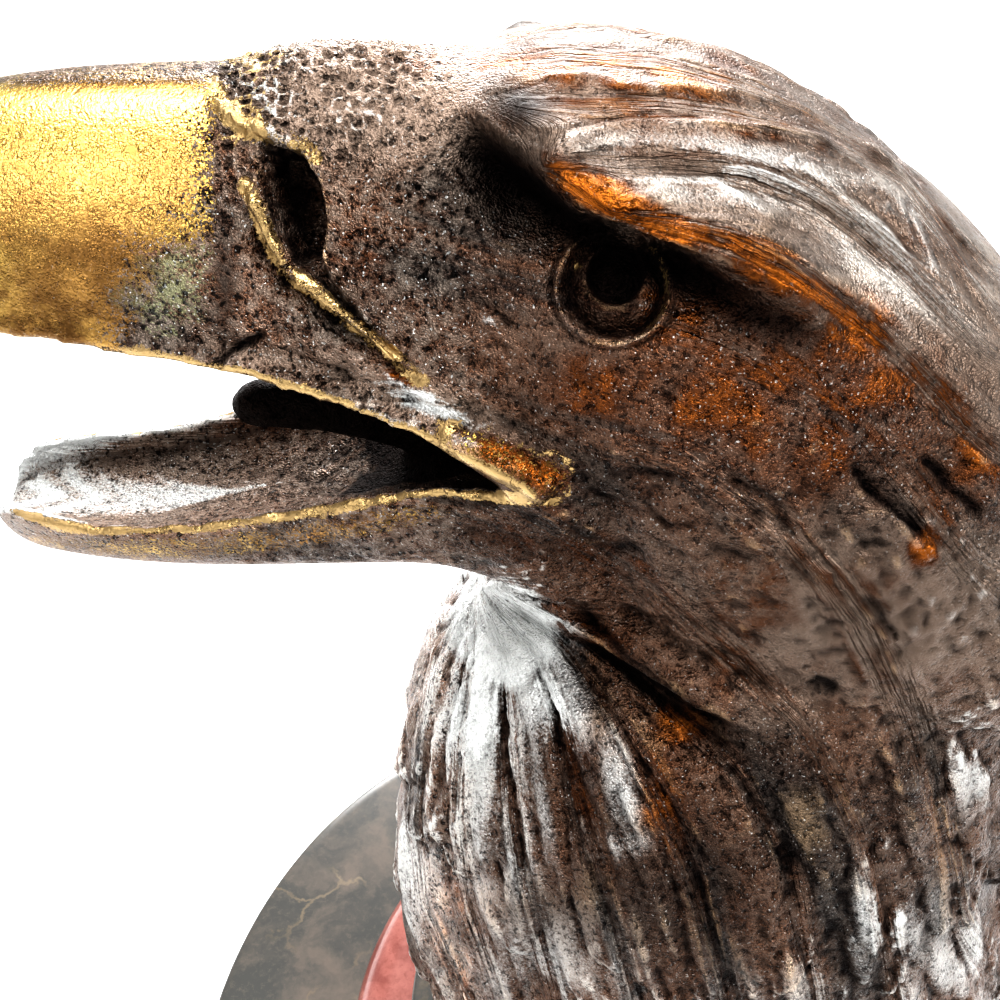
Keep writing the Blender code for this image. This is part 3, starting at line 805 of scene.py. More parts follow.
def carve_neck_side(skin):
    """Rough, broken flow of small feathers over the cheek and the neck's side, in clumps lower down."""
    reach, _, side = follow(skin.pixels, JAW_EDGE)
    clear = np.where((side < 0) | (skin.pixels[:, 0] > 775), 1.0, 0.0) * smoothstep(0, 15, reach)
    zone = clear * smoothstep(360, 480, skin.pixels[:, 1]) * smoothstep(540, 620, skin.pixels[:, 0])
    zone *= smoothstep(-0.1, 0.1, skin.facing)
    relief = strand_relief(skin.pixels, scattered(CHEEK_WINDOW, 130, 57.0), 90, 10)
    low = smoothstep(740, 820, skin.pixels[:, 1] + 0.4 * (skin.pixels[:, 0] - 800))
    clumps = strand_relief(skin.pixels, scattered(NECK_WINDOW, 70, 87.0), 110, 15, 0.9)
    rough = layered_grain(skin.points, ((0.5, 7.0, 3), (0.35, 3.6, 14), (0.2, 1.9, 4)))
    skin.strands = np.maximum(skin.strands, (relief * (1 - low) * 0.5 + clumps * low) * zone)
    skin.lift(((relief - 0.4) * 0.5 * (1 - low) + (clumps - 0.4) * 1.9 * low + rough) * zone)


def carve_cere(skin):
    """A net of small scales over the base of the beak."""
    x, y = skin.pixels.T
    zone = smoothstep(206, 222, x) * (1 - smoothstep(400, 455, x))
    zone = zone * (1 - smoothstep(175, 245, y + 0.25 * (x - 205)))
    nearest, second = cells(skin.points * (0.9, 0.9, 1.0), 1.75, 5)
    floor = smoothstep(0.06, 0.34, second - nearest) * (1 - 0.3 * smoothstep(0.0, 0.3, nearest))
    skin.lift((0.18 - floor * 0.55) * zone * skin.seen)
    skin.network = (1 - smoothstep(0.05, 0.3, second - nearest)) * zone


# Grooves and cracks: path, half width in pixels and depth
GROOVES = (
    (((846, 462), (882, 500), (935, 545)), 6, 1.3), (((915, 450), (950, 488), (992, 522)), 6, 1.1),
    (((205, 368), (235, 350), (268, 330)), 4, 0.9), (((226, 338), (220, 372)), 3, 0.7), (((368, 388),
    (360, 414)), 3, 0.7), (((440, 422), (434, 448)), 3, 0.7), (((640, 505), (668, 522), (702, 528)),
    5, 0.7), (((700, 545), (760, 562)), 5, 0.6), (((808, 678), (842, 694)), 5, 1.0), (((560, 520),
    (600, 545), (655, 560)), 6, 0.7), (((600, 480), (640, 470), (690, 480)), 6, 0.6), (((505, 500),
    (470, 506), (420, 500)), 5, 0.6), (((720, 470), (770, 500), (800, 540)), 6, 0.7), (((560, 590),
    (610, 640), (660, 690), (700, 730)), 7, 0.8), (((860, 590), (900, 640)), 5, 0.7), (((470, 296),
    (520, 330)), 4, 0.4),
)


def carve_grooves(skin):
    """The few long cracks of the casting and the folds of the cheek."""
    wander = np.stack((grain(skin.points, 4.0, 61), grain(skin.points, 4.0, 62)), axis=1) * 4
    depth = np.zeros(len(skin.points))
    for path, width, deep in GROOVES:
        reach, along, _ = follow(skin.pixels + wander, path)
        depth = np.maximum(depth, bump(reach, width) * ends_fade(along, 0.2) * deep)
    skin.cracks = np.clip(depth * 1.2, 0, 1) * skin.seen
    skin.lift(-depth * skin.seen)


def carve_grain(skin):
    """Casting grain over the whole face, calmer on the crown."""
    x, y = skin.pixels.T
    face = smoothstep(215, 260, x) * skin.seen
    smooth = smoothstep(440, 480, x) * smoothstep(330, 250, y - 0.3 * (x - 480))
    rough = layered_grain(skin.points, ((0.26, 1.3, 8), (0.38, 3.0, 9), (0.35, 6.0, 10)))
    skin.lift(rough * face * (1 - 0.7 * smooth))


def bust_form():
    mesh = bmesh.new()
    add_shell(mesh, BILL_STATIONS, BILL_SHAPE)
    add_shell(mesh, MANDIBLE_STATIONS, MANDIBLE_SHAPE)
    add_skull(mesh)
    add_tongue(mesh)
    add_rims(mesh)
    add_neck(mesh)
    bmesh.ops.recalc_face_normals(mesh, faces=mesh.faces)
    return mesh_object("eagle_head_bust", mesh)


def carve_bust(piece):
    """The whole bust, from the plain form to its finest relief."""
    voxel_skin(piece, VOXEL)
    relax(piece.data, 8, 0.6, 0.62)
    relax(piece.data, 1, 0.5)
    beak = smoothstep(*BEAK_ZONE, points_of(piece.data)[:, 0])
    relax(piece.data, 22, 0.6, 0.61, beak)
    skin = Skin(piece.data)
    carve_locks(skin)
    carve_plume(skin)
    wanted = in_window(skin.pixels, FINE_WINDOW) & (skin.points[:, 1] < 6) & (skin.facing > -0.35)
    refine(piece.data, wanted)
    relax(piece.data, 2, 0.5, 0.4)
    skin.restart()
    carve_brow(skin)
    carve_jaw(skin)
    x, y = skin.pixels.T
    near = (skin.points[:, 1] < 0) & (skin.facing > 0)
    cere = in_window(skin.pixels, CERE_WINDOW)
    eye = np.hypot(x - EYE_CENTRE[0], y - EYE_CENTRE[1]) < 78
    brow = in_window(skin.pixels, BROW_WINDOW) & (y < 240 + (x - 560) * 0.4)
    refine(piece.data, near & (cere | eye | brow))
    relax(piece.data, 2, 0.5, 0.4)
    skin.restart()
    carve_nostril(skin)
    carve_eye(skin)
    carve_gape(skin)
    carve_crown(skin)
    carve_throat(skin)
    carve_neck_side(skin)
    carve_cere(skin)
    carve_grooves(skin)
    carve_grain(skin)
    paint_bust(piece.data, skin)
    thin_skin(piece, MOST_TRIANGLES)
    points = points_of(piece.data)
    points[points[:, 2] < FOOT_LEVEL, 2] = 0.0
    points[:, 2] += SEAT
    put_points(piece.data, points * UNIT)


# Patina, painted shade and painted sheen, as places on the photograph: x, y, half width, half height, turn in
# degrees, strength
# Warm patina; the patch at (652, 300) is the eye's lit crescent, a painted highlight in warm brown
WARM_PATCHES = (
    (560, 84, 110, 14, 0, 0.5), (500, 110, 40, 30, 10, 0.45), (600, 190, 66, 20, 28, 2.0),
    (700, 236, 100, 15, 14, 1.7), (790, 285, 80, 20, 22, 1.5), (838, 325, 70, 40, 10, 1.5),
    (600, 390, 70, 40, 10, 0.75), (690, 400, 120, 60, 8, 0.62), (800, 420, 180, 90, 15, 0.6),
    (900, 380, 90, 60, 20, 0.7), (925, 548, 16, 24, 10, 1.3), (355, 250, 30, 60, -15, 0.5),
    (585, 770, 20, 60, -12, 0.9), (660, 800, 30, 60, -15, 0.95), (680, 725, 34, 26, -20, 1.0),
    (600, 640, 70, 18, 35, 0.6), (550, 600, 50, 14, 25, 0.6), (960, 470, 50, 80, 0, 0.8),
    (730, 900, 50, 60, 0, 0.4), (460, 930, 20, 50, 10, 0.4), (620, 560, 90, 40, 25, 0.5),
    (740, 620, 150, 90, 30, 0.45), (930, 250, 60, 60, 30, 0.5), (395, 370, 30, 14, 40, 0.9),
    (740, 360, 240, 120, 15, 0.55), (700, 115, 270, 56, 12, 0.6), (610, 70, 190, 26, 3, 1.0),
    (780, 620, 220, 140, 25, 0.5), (560, 545, 120, 46, 10, 0.45), (652, 300, 12, 30, 10, 0.9),
    (640, 325, 22, 8, -25, 0.8),
)
# Dry brush; the patch at (730, 172) paints the crown's sheen
PALE_PATCHES = (
    (503, 632, 54, 60, 0, 2.3), (475, 705, 52, 80, 0, 1.2), (545, 690, 30, 62, -20, 1.1),
    (480, 780, 80, 110, 0, 0.55), (515, 840, 34, 16, -10, 0.4), (620, 845, 26, 14, -10, 0.4),
    (890, 915, 30, 70, 0, 0.8), (975, 750, 26, 50, 0, 0.9), (840, 965, 36, 36, 0, 0.6),
    (730, 172, 130, 30, 8, 0.75), (900, 240, 110, 60, 40, 0.5), (620, 780, 14, 46, -10, 0.6),
    (370, 115, 90, 40, 0, 0.5), (265, 95, 60, 36, 0, 1.0), (960, 600, 40, 80, 0, 0.4),
    (150, 472, 180, 44, -8, 2.35), (425, 402, 80, 18, 22, 1.5), (270, 358, 50, 12, 10, 1.0),
    (460, 330, 80, 50, 20, 0.7), (690, 345, 60, 16, -10, 0.3),
)
GREEN_PATCHES = ((172, 285, 36, 46, 12, 1.0), (40, 235, 20, 10, 0, 0.5), (95, 215, 26, 9, 0, 0.35))
# Painted shade under the brow and the jaw, in the nostril, between the plume's strands and along the neck's
# grooves; the patch at (522, 106) darkens the brow knob
PAINTED_SHADE_PATCHES = (
    (505, 175, 50, 40, 45, 1.0), (570, 930, 90, 50, 0, 0.6), (585, 775, 24, 60, -12, 0.6),
    (180, 550, 200, 12, 0, 0.55), (410, 860, 14, 120, 0, 0.5), (585, 48, 190, 16, 4, 0.35),
    (545, 800, 10, 70, -6, 0.6), (480, 790, 8, 60, 4, 0.6), (445, 760, 6, 70, 6, 0.6),
    (515, 900, 10, 60, 0, 0.6), (640, 900, 12, 60, -10, 0.6), (470, 135, 20, 26, 0, 0.6),
    (760, 318, 70, 22, 24, 0.9), (430, 250, 90, 90, 0, 0.35), (300, 200, 22, 46, -10, 1.0),
    (225, 285, 14, 60, 0, 0.8), (450, 470, 60, 30, 20, 0.3), (690, 712, 100, 16, 38, 0.8),
    (520, 545, 100, 16, 10, 0.5), (522, 106, 34, 26, 10, 0.9), (600, 870, 50, 80, -15, 0.55),
    (710, 900, 60, 80, 0, 0.5), (830, 505, 60, 8, 45, 0.6), (890, 495, 70, 6, 42, 0.8),
    (950, 490, 60, 6, 30, 0.7), (420, 770, 10, 50, 5, 0.5), (610, 800, 14, 60, -12, 0.6),
    (700, 850, 40, 90, -20, 0.5), (800, 800, 50, 80, 0, 0.35),
)
# Painted sheen: where the lighter crown bronze shows, on the neck's side, the cere, the grey band over the
# gape and inside the mandible
PAINTED_SHEEN_PATCHES = (
    (870, 620, 170, 100, 0, 2.0), (960, 430, 50, 120, 0, 0.6), (760, 620, 130, 40, 30, 0.9),
    (370, 105, 110, 60, 0, 2.2), (420, 402, 100, 22, 22, 1.8), (150, 475, 190, 44, -8, 1.8),
    (270, 360, 60, 14, 10, 1.2), (560, 345, 60, 20, 20, 0.4),
)


def patches(skin, spots):
    """How strongly the patches show at each point of the face."""
    found = np.zeros(len(skin.points))
    for x, y, half_width, half_height, turn, strength in spots:
        cosine, sine = math.cos(math.radians(turn)), math.sin(math.radians(turn))
        off_x, off_y = skin.pixels[:, 0] - x, skin.pixels[:, 1] - y
        across = (off_x * cosine + off_y * sine) / half_width
        down = (off_y * cosine - off_x * sine) / half_height
        found = np.maximum(found, strength * (1 - smoothstep(0.1, 1.7, np.hypot(across, down))))
    return found


def standing_out(data, rounds):
    """How far each point stands over the skin round it: over 0 on a ridge, under 0 in a hollow."""
    near = Neighbours(data)
    points = points_of(data)
    smooth = points.copy()
    for _ in range(rounds):
        smooth += np.stack([near.mean(smooth[:, axis]) for axis in range(3)], axis=1)
        smooth /= 2
    return ((points - smooth) * normals_of(data)).sum(axis=1)


def keep(data, name, columns):
    """Stores three values at each point under this name."""
    store = data.attributes.new(name, "FLOAT_VECTOR", "POINT")
    store.data.foreach_set("vector", np.stack(columns, axis=1).astype(np.float32).ravel())


def flow_places(pixels):
    """Each place's way across the plumage and along it, in pixels, from the guides on both sides of it."""
    total, across, along = 0.0, 0.0, 0.0
    for number, guide in enumerate(FLOW_GUIDES):
        reach, share, _ = follow(pixels, guide)
        steps = np.diff(np.array(guide, float), axis=0)
        weight = 1 / (reach**2 + 30) ** 1.5
        total = total + weight
        across = across + weight * number * 40
        along = along + weight * share * np.hypot(*steps.T).sum()
    return across / total, along / total


def paint_bust(data, skin):
    """Masks that the bronze reads: worn, depth, marks and cover hold three each, flow the plumage's way."""
    x, y = skin.pixels.T
    height = skin.points[:, 2]
    outer = smoothstep(0.0, 0.3, -skin.outward[:, 1])
    tongue = (np.abs(skin.points[:, 1]) < 9.5) & (np.abs(skin.points[:, 0] + 75) < 30)
    tongue &= (height < 219.5) & (height > 200)
    outer = np.where(tongue, 0.0, outer)
    edge = 214 - 0.10 * np.clip(100 - y, 0, 60) + 8 * grain(skin.points, 6.0, 31)
    on_bill = 1 - smoothstep(-34, 16, x - edge)
    low = smoothstep(225, 262, y) * smoothstep(118, 160, x + 0.25 * (y - 250))
    gold = np.where((skin.points[:, 0] < -82) & (height > 214), on_bill * (1 - low), 0.0)
    gold *= smoothstep(0.75, 0.35, -skin.normals[:, 2])
    gold *= 1 - 0.55 * (1 - smoothstep(80, 90, y + 0.03 * x)) * smoothstep(-30, 20, x)
    network = skin.network * (1 - smoothstep(240, 340, x)) * (1 - smoothstep(110, 170, y))
    reach, along, _ = follow(skin.pixels, GAPE_EDGE)
    wide = 6 - 2.0 * smoothstep(0.35, 0.5, along)
    gold_lines_and_highlights = (1 - smoothstep(wide * 0.6, wide + 4, reach)) * outer
    flange = patches(skin, GAPE_FLANGE) * outer
    gold_lines_and_highlights = np.maximum(gold_lines_and_highlights, bump(flange - 0.35, 0.16) * 0.7)
    reach, along, _ = follow(skin.pixels, NOSTRIL_RIM)
    gold_lines_and_highlights = np.maximum(gold_lines_and_highlights, (1 - smoothstep(6, 12, reach)) * (1.0 - 0.35 * along))
    reach, along, _ = follow(skin.pixels, NOSTRIL_LIP)
    gold_lines_and_highlights = np.maximum(gold_lines_and_highlights, (1 - smoothstep(6, 14, reach)) * (1.0 - 0.5 * along))
    reach, along, side = follow(skin.pixels, MANDIBLE_RIM)
    gold_lines_and_highlights = np.maximum(gold_lines_and_highlights, (1 - smoothstep(3.5, 8, reach)) * outer)
    gold_lines_and_highlights = np.maximum(gold_lines_and_highlights, network * 0.62)
    below = np.where(side > 0, reach, -reach)
    bronze_band = bump(below - 22, 12) * outer * smoothstep(0, 0.1, along)
    bronze_band *= 1 - smoothstep(0.75, 0.95, along)
    bronze_band = np.maximum(bronze_band, flange * 0.7)
    gold = np.maximum(gold, bronze_band * 0.46)
    warm = np.maximum(patches(skin, WARM_PATCHES), flange)
    pale = patches(skin, PALE_PATCHES)
    green = patches(skin, GREEN_PATCHES)
    dark = patches(skin, PAINTED_SHADE_PATCHES)
    reach, along, side = follow(skin.pixels, BROW_LINE)
    crown = np.where(side < 0, smoothstep(440, 480, x), 0.0)
    brow_shade = np.where(side > 0, smoothstep(1, 8, reach) * (1 - smoothstep(24, 52, reach)), 0.0)
    brow_shade *= smoothstep(0.05, 0.2, along) * smoothstep(0.95, 0.7, along)
    # Painted shade in the pupil's hollow and over the eye inside its lid, lifted on the lower right crescent,
    # a painted highlight
    pupil = 1 - smoothstep(26, 33, np.hypot(x - PUPIL_CENTRE[0], y - PUPIL_CENTRE[1]))
    eye_reach = np.hypot(x - EYE_CENTRE[0], y - EYE_CENTRE[1])
    socket = 1 - smoothstep(44, 54, eye_reach)
    crescent_highlight = 1 - smoothstep(0.5, 1.3, np.hypot((x - 652) / 15, (y - 302) / 26))
    socket *= 0.68 - 0.66 * crescent_highlight
    # dark: the painted shade patches, the brow's shadow, the pupil, the eye and the grooves
    dark = np.maximum.reduce((dark, brow_shade, pupil, socket, skin.cracks))
    # A painted glint in the eye, and a painted highlight on the lid ring's lit side, both in the rubbed gold
    # of the lines
    glint = 1 - smoothstep(3.0, 7.0, np.hypot(x - GLINT_PLACE[0], y - GLINT_PLACE[1]))
    lit_side = smoothstep(-30, 40, x - EYE_CENTRE[0] + 0.4 * (y - EYE_CENTRE[1]))
    ring = bump(eye_reach - 55, 4.5) * lit_side
    gold_lines_and_highlights = np.maximum.reduce((gold_lines_and_highlights, glint, ring * 0.5))
    fine = standing_out(data, 4)
    broad = standing_out(data, 30)
    rest = np.maximum(1 - skin.seen, smoothstep(150, 110, height))
    mottle = 0.5 + 0.5 * grain(skin.points, 26.0, 12)
    warm = np.maximum(warm, rest * 0.75 * mottle)
    pale = np.maximum(pale, rest * 0.8 * (1 - mottle) * smoothstep(190, 150, height))
    # Near black where the skin sinks: the patina's dark in recesses, and painted shade where the shade marks
    # above fall and on the tongue inside the mouth
    hollow = smoothstep(0.1, -1.4, broad) * 0.8 + smoothstep(0.0, -0.2, fine) * 0.6
    hollow *= 1 - 0.6 * crown
    hollow = np.clip(np.maximum(hollow, dark), 0, 1)
    hollow = np.where(tongue, 1.0, hollow)
    pale = np.where(tongue, 0.0, pale)
    ridge = np.clip(smoothstep(-0.1, 1.4, broad) * 0.6 + smoothstep(0.0, 0.22, fine) * 0.6, 0, 1)
    # Tarnish along the bill's top edge, and painted shade that darkens the bill towards its underside
    tarnish_and_shade = 1 - smoothstep(80, 96, y) + 0.8 * smoothstep(165, 265, y) + 0.2 * smoothstep(270, 320, y)
    behind = smoothstep(0, 120, x - 560 - 0.5 * (430 - y).clip(0, 200))
    feathered = np.maximum.reduce((crown * smoothstep(490, 580, x), behind, smoothstep(560, 620, y), rest))
    fan = np.arctan2(skin.points[:, 1], skin.points[:, 0])
    around = np.arctan2(skin.points[:, 1], height - 205.0)
    high = smoothstep(150, 195, height)
    hidden = (skin.facing < 0.05) | (y > 1040) | (x > 1050)
    across, along = flow_places(skin.pixels)
    across = np.where(hidden, (high * around * 45 + (1 - high) * fan * 62) * 6, across)
    along = np.where(hidden, (skin.points[:, 0] * high + height * (1 - high)) * 6, along)
    keep(data, "worn", (gold, warm, pale))
    keep(data, "depth", (green, hollow, ridge))
    keep(data, "marks", (np.maximum(skin.strands, skin.crests), gold_lines_and_highlights, tarnish_and_shade))
    keep(data, "flow", (across, along * 0.06, 0 * across))
    # sheen zone: the crown and the sheen patches, where the lighter bronze paints the satin sheen
    sheen_zone = np.maximum(crown, 0.8 * patches(skin, PAINTED_SHEEN_PATCHES))
    keep(data, "cover", (feathered, sheen_zone, np.maximum(smoothstep(440, 500, x), crown)))


class Wiring:
    """A node tree with short ways to add nodes and join them."""

    def __init__(self, tree):
        self.tree = tree
        tree.nodes.clear()

    def feed(self, socket, value):
        if isinstance(value, bpy.types.NodeSocket):
            self.tree.links.new(value, socket)
        else:
            socket.default_value = value

    def add(self, kind, feeds=None, **settings):
        node = self.tree.nodes.new(kind)
        for name, value in settings.items():
            setattr(node, name, value)
        for name, value in (feeds or {}).items():
            self.feed(node.inputs[name], value)
        return node

    def math(self, operation, first, second=0.0, third=0.0):
        return self.add("ShaderNodeMath", {0: first, 1: second, 2: third}, operation=operation).outputs[0]

    def span(self, value, low, high, to_low=0.0, to_high=1.0, kind="SMOOTHSTEP"):
        feeds = {"Value": value, "From Min": low, "From Max": high, "To Min": to_low, "To Max": to_high}
        return self.add("ShaderNodeMapRange", feeds, interpolation_type=kind).outputs["Result"]

    def mix(self, share, under, over, blend_type="MIX"):
        node = self.add("ShaderNodeMix", data_type="RGBA", blend_type=blend_type)
        for name, value in (("Factor_Float", share), ("A_Color", under), ("B_Color", over)):
            socket = next(socket for socket in node.inputs if socket.identifier == name)
            self.feed(socket, value)
        return next(socket for socket in node.outputs if socket.identifier == "Result_Color")

    def noise(self, place, size, detail=3.0, rough=0.5, warp=0.0):
        feeds = {"Vector": place, "Scale": 1 / size, "Detail": detail, "Roughness": rough, "Distortion": warp}
        return self.add("ShaderNodeTexNoise", feeds).outputs["Fac"]

    def disturb(self, mask, noise, strength, full):
        """The mask with a noise added to it, where the mask itself is over 0."""
        gate = self.span(mask, 0.0, full)
        return self.math("MULTIPLY_ADD", self.span(noise, 0.3, 0.7, -strength, strength), gate, mask)

    def stretch(self, place, factors):
        return self.add("ShaderNodeVectorMath", {0: place, 1: factors}, operation="MULTIPLY").outputs[0]

    def place(self):
        """Object coordinates in thousandths of a metre."""
        found = self.add("ShaderNodeTexCoord").outputs["Object"]
        return self.stretch(found, (1000, 1000, 1000))

    def kept(self, name):
        found = self.add("ShaderNodeAttribute", attribute_name=name).outputs["Vector"]
        return self.add("ShaderNodeSeparateXYZ", {0: found}).outputs


def new_group(name, inputs, outputs):
    """An empty shader node group with these sockets: its wiring, what it takes and what it gives."""
    tree = bpy.data.node_groups.new(name, "ShaderNodeTree")
    kinds = {"V": "NodeSocketVector", "C": "NodeSocketColor", "F": "NodeSocketFloat"}
    for way, sockets in (("INPUT", inputs), ("OUTPUT", outputs)):
        for title, kind in sockets:
            tree.interface.new_socket(title, in_out=way, socket_type=kinds[kind])
    wiring = Wiring(tree)
    taken = wiring.add("NodeGroupInput").outputs
    given = wiring.add("NodeGroupOutput").inputs
    return wiring, taken, given


def new_finish(name):
    """A material with only its output, its Principled shader and their wiring."""
    finish = bpy.data.materials.new(name)
    finish.use_nodes = True
    wiring = Wiring(finish.node_tree)
    shader = wiring.add("ShaderNodeBsdfPrincipled")
    wiring.add("ShaderNodeOutputMaterial", {"Surface": shader.outputs[0]})
    return finish, wiring, shader.inputs


def casting_grain_group():
    """Granular skin of a patinated casting: a height and a mottle, both about 0.5."""
    wiring, taken, given = new_group(
        "casting_grain", (("Place", "V"), ("Size", "F")), (("Height", "F"), ("Mottle", "F"))
    )
    scaled = wiring.add("ShaderNodeVectorMath", {0: taken["Place"], 1: (1, 1, 1)}, operation="DIVIDE")
    size = wiring.add("ShaderNodeCombineXYZ", {0: taken["Size"], 1: taken["Size"], 2: taken["Size"]})
    wiring.feed(scaled.inputs[1], size.outputs[0])
    fine = wiring.noise(scaled.outputs[0], 0.5, 1.0, 0.6)
    coarse = wiring.noise(scaled.outputs[0], 2.2, 2.0, 0.6)
    pits = wiring.noise(scaled.outputs[0], 1.1, 0.0, 0.5)
    height = wiring.math("MULTIPLY_ADD", fine, 0.5, wiring.math("MULTIPLY", coarse, 0.4))
    height = wiring.math("MULTIPLY_ADD", wiring.span(pits, 0.10, 0.40), 0.2, height)
    wiring.feed(given["Height"], height)
    wiring.feed(given["Mottle"], wiring.span(coarse, 0.3, 0.7))
    return wiring.tree


def bronze_finish(looks):
    """Dark brown bronze with warm translucent patina, dry-brushed strands, verdigris and a polished bill, and
    painted shade, sheen, glints and grain light.
    """
    finish, wiring, shader = new_finish("patinated_bronze")
    place = wiring.place()
    gold, warm, pale = wiring.kept("worn")
    green, hollow, ridge = wiring.kept("depth")
    strand, gold_lines_and_highlights, tarnish_and_shade = wiring.kept("marks")
    feathered, sheen_zone, calm = wiring.kept("cover")
    flow = wiring.add("ShaderNodeAttribute", attribute_name="flow").outputs["Vector"]
    grains = wiring.add("ShaderNodeGroup", {})
    grains.node_tree = casting_grain_group()
    wiring.feed(grains.inputs["Place"], place)
    wiring.feed(grains.inputs["Size"], 0.8)
    height, mottle = grains.outputs

    speck = wiring.noise(place, 0.5, 2.0, 0.75)
    blotch = wiring.noise(place, 7.0, 4.0, 0.65)
    cloud = wiring.noise(place, 26.0, 1.0, 0.5)
    streaks = wiring.noise(flow, 6.0, 2.0, 0.6)
    broad_streaks = wiring.noise(flow, 18.0, 2.0, 0.6)
    # White specks, partly dust and partly painted glints on the grain
    dust_and_glint_specks = wiring.span(wiring.noise(place, 0.42, 0.0, 0.8), 0.72, 0.80)

    gold = wiring.disturb(gold, speck, 0.5, 0.25)
    gold = wiring.span(gold, 0.38, 0.62)
    warm = wiring.math("MULTIPLY", warm, wiring.span(blotch, 0.30, 0.66, 0.45, 1.3))
    warm = wiring.math("MULTIPLY", warm, wiring.span(streaks, 0.34, 0.64, 0.5, 1.3))
    green = wiring.disturb(green, speck, 0.5, 0.4)
    green = wiring.disturb(green, blotch, 0.4, 0.4)
    green = wiring.span(green, 0.25, 0.85)
    brushed = wiring.math("MULTIPLY_ADD", wiring.math("MAXIMUM", ridge, strand), 1.0, -0.1)
    brushed = wiring.math("ADD", brushed, wiring.span(streaks, 0.30, 0.70, -0.2, 0.2))
    brushed = wiring.math("ADD", brushed, wiring.span(speck, 0.3, 0.7, -0.12, 0.12))
    brushed = wiring.math("MULTIPLY_ADD", wiring.span(pale, 0.6, 1.6), 0.6, brushed)
    brushed = wiring.span(brushed, 0.2, 0.9)
    pale = wiring.math("MULTIPLY", pale, brushed)

    brown = wiring.math("MULTIPLY_ADD", broad_streaks, 0.6, wiring.math("MULTIPLY", cloud, 0.4))
    base = wiring.mix(wiring.span(brown, 0.36, 0.64), (*looks.dark_bronze, 1), (*looks.brown_bronze, 1))
    greyed = wiring.math("MULTIPLY", mottle, wiring.math("MULTIPLY_ADD", calm, -0.35, 0.65))
    base = wiring.mix(greyed, base, (*looks.grey_bronze, 1))
    # Painted sheen: the lighter crown bronze in streaks along the strands, over the sheen zone
    sheen = wiring.math("MULTIPLY_ADD", strand, 0.5, wiring.math("MULTIPLY", broad_streaks, 0.9))
    sheen = wiring.math("MAXIMUM", wiring.span(sheen, 0.40, 0.76, 0.68, 0.96), wiring.span(sheen_zone, 1.0, 1.5))
    sheen = wiring.math("MULTIPLY", sheen_zone, sheen)
    base = wiring.mix(sheen, base, (*looks.painted_sheen_bronze, 1))
    glow = wiring.mix(wiring.span(warm, 0.55, 1.8), (*looks.red_patina, 1), (*looks.orange_patina, 1))
    base = wiring.mix(wiring.span(warm, 0.05, 0.9), base, glow)
    rubbed = wiring.span(streaks, 0.35, 0.65, 0.1, 1.0)
    worn = wiring.math("MULTIPLY", wiring.math("MAXIMUM", ridge, strand), rubbed)
    base = wiring.mix(wiring.span(worn, 0.25, 1.0, 0.0, 0.28), base, (*looks.worn_bronze, 1))
    # Near black in the hollows: the patina's dark, and painted shade
    base = wiring.mix(wiring.math("MULTIPLY", hollow, 0.95), base, (*looks.hollow_and_shade_black, 1))
    base = wiring.mix(pale, base, (*looks.dry_brush_and_glints, 1))
    # Rubbed gold lines, with the eye's painted glint and lid highlight
    gold_lines_and_highlights = wiring.disturb(gold_lines_and_highlights, speck, 0.3, 0.4)
    gold_lines_and_highlights = wiring.disturb(gold_lines_and_highlights, blotch, 0.5, 0.4)
    gold_lines_and_highlights = wiring.span(gold_lines_and_highlights, 0.35, 0.75)
    base = wiring.mix(gold_lines_and_highlights, base, (*looks.rubbed_gold_and_glints, 1))
    polish = wiring.mix(wiring.span(cloud, 0.35, 0.65), (*looks.deep_gold, 1), (*looks.polished_gold, 1))
    polish = wiring.mix(wiring.span(blotch, 0.46, 0.66, 0.0, 0.5), polish, (*looks.orange_gold, 1))
    # Tarnish on the bill's top, and painted shade towards its underside
    dulled_and_shaded = wiring.math("MULTIPLY", tarnish_and_shade, wiring.span(blotch, 0.3, 0.6, 0.55, 1.0))
    polish = wiring.mix(dulled_and_shaded, polish, (*looks.tarnish_and_shade_gold, 1))
    base = wiring.mix(gold, base, polish)
    base = wiring.mix(wiring.math("MULTIPLY", green, 0.6), base, (*looks.verdigris, 1))
    shiny = wiring.math("MAXIMUM", gold, gold_lines_and_highlights)
    dull = wiring.math("SUBTRACT", 1.0, shiny)
    # Painted light and shade of the grain: raised grains lighter, pits darker
    value = wiring.span(height, 0.50, 0.66, 0.3, 3.6)
    smooth = wiring.math("MULTIPLY_ADD", calm, -0.5, wiring.math("MULTIPLY_ADD", sheen_zone, -0.3, 1.0))
    uneven = wiring.math("MULTIPLY", dull, smooth)
    uneven = wiring.math("MULTIPLY", uneven, wiring.span(pale, 0.0, 0.7, 1.0, 0.15))
    grain_light_and_shade = wiring.math("MULTIPLY_ADD", uneven, wiring.math("SUBTRACT", value, 1.0), 1.0)
    tinted = wiring.add("ShaderNodeVectorMath", {0: base, "Scale": grain_light_and_shade}, operation="SCALE").outputs[0]
    open_skin = wiring.math("MULTIPLY", uneven, wiring.span(hollow, 0.2, 0.7, 0.7, 0.0))
    dust_and_glints_shown = wiring.math("MULTIPLY", dust_and_glint_specks, open_skin)
    tinted = wiring.mix(dust_and_glints_shown, tinted, (*looks.dry_brush_and_glints, 1))
    wiring.feed(shader["Base Color"], tinted)

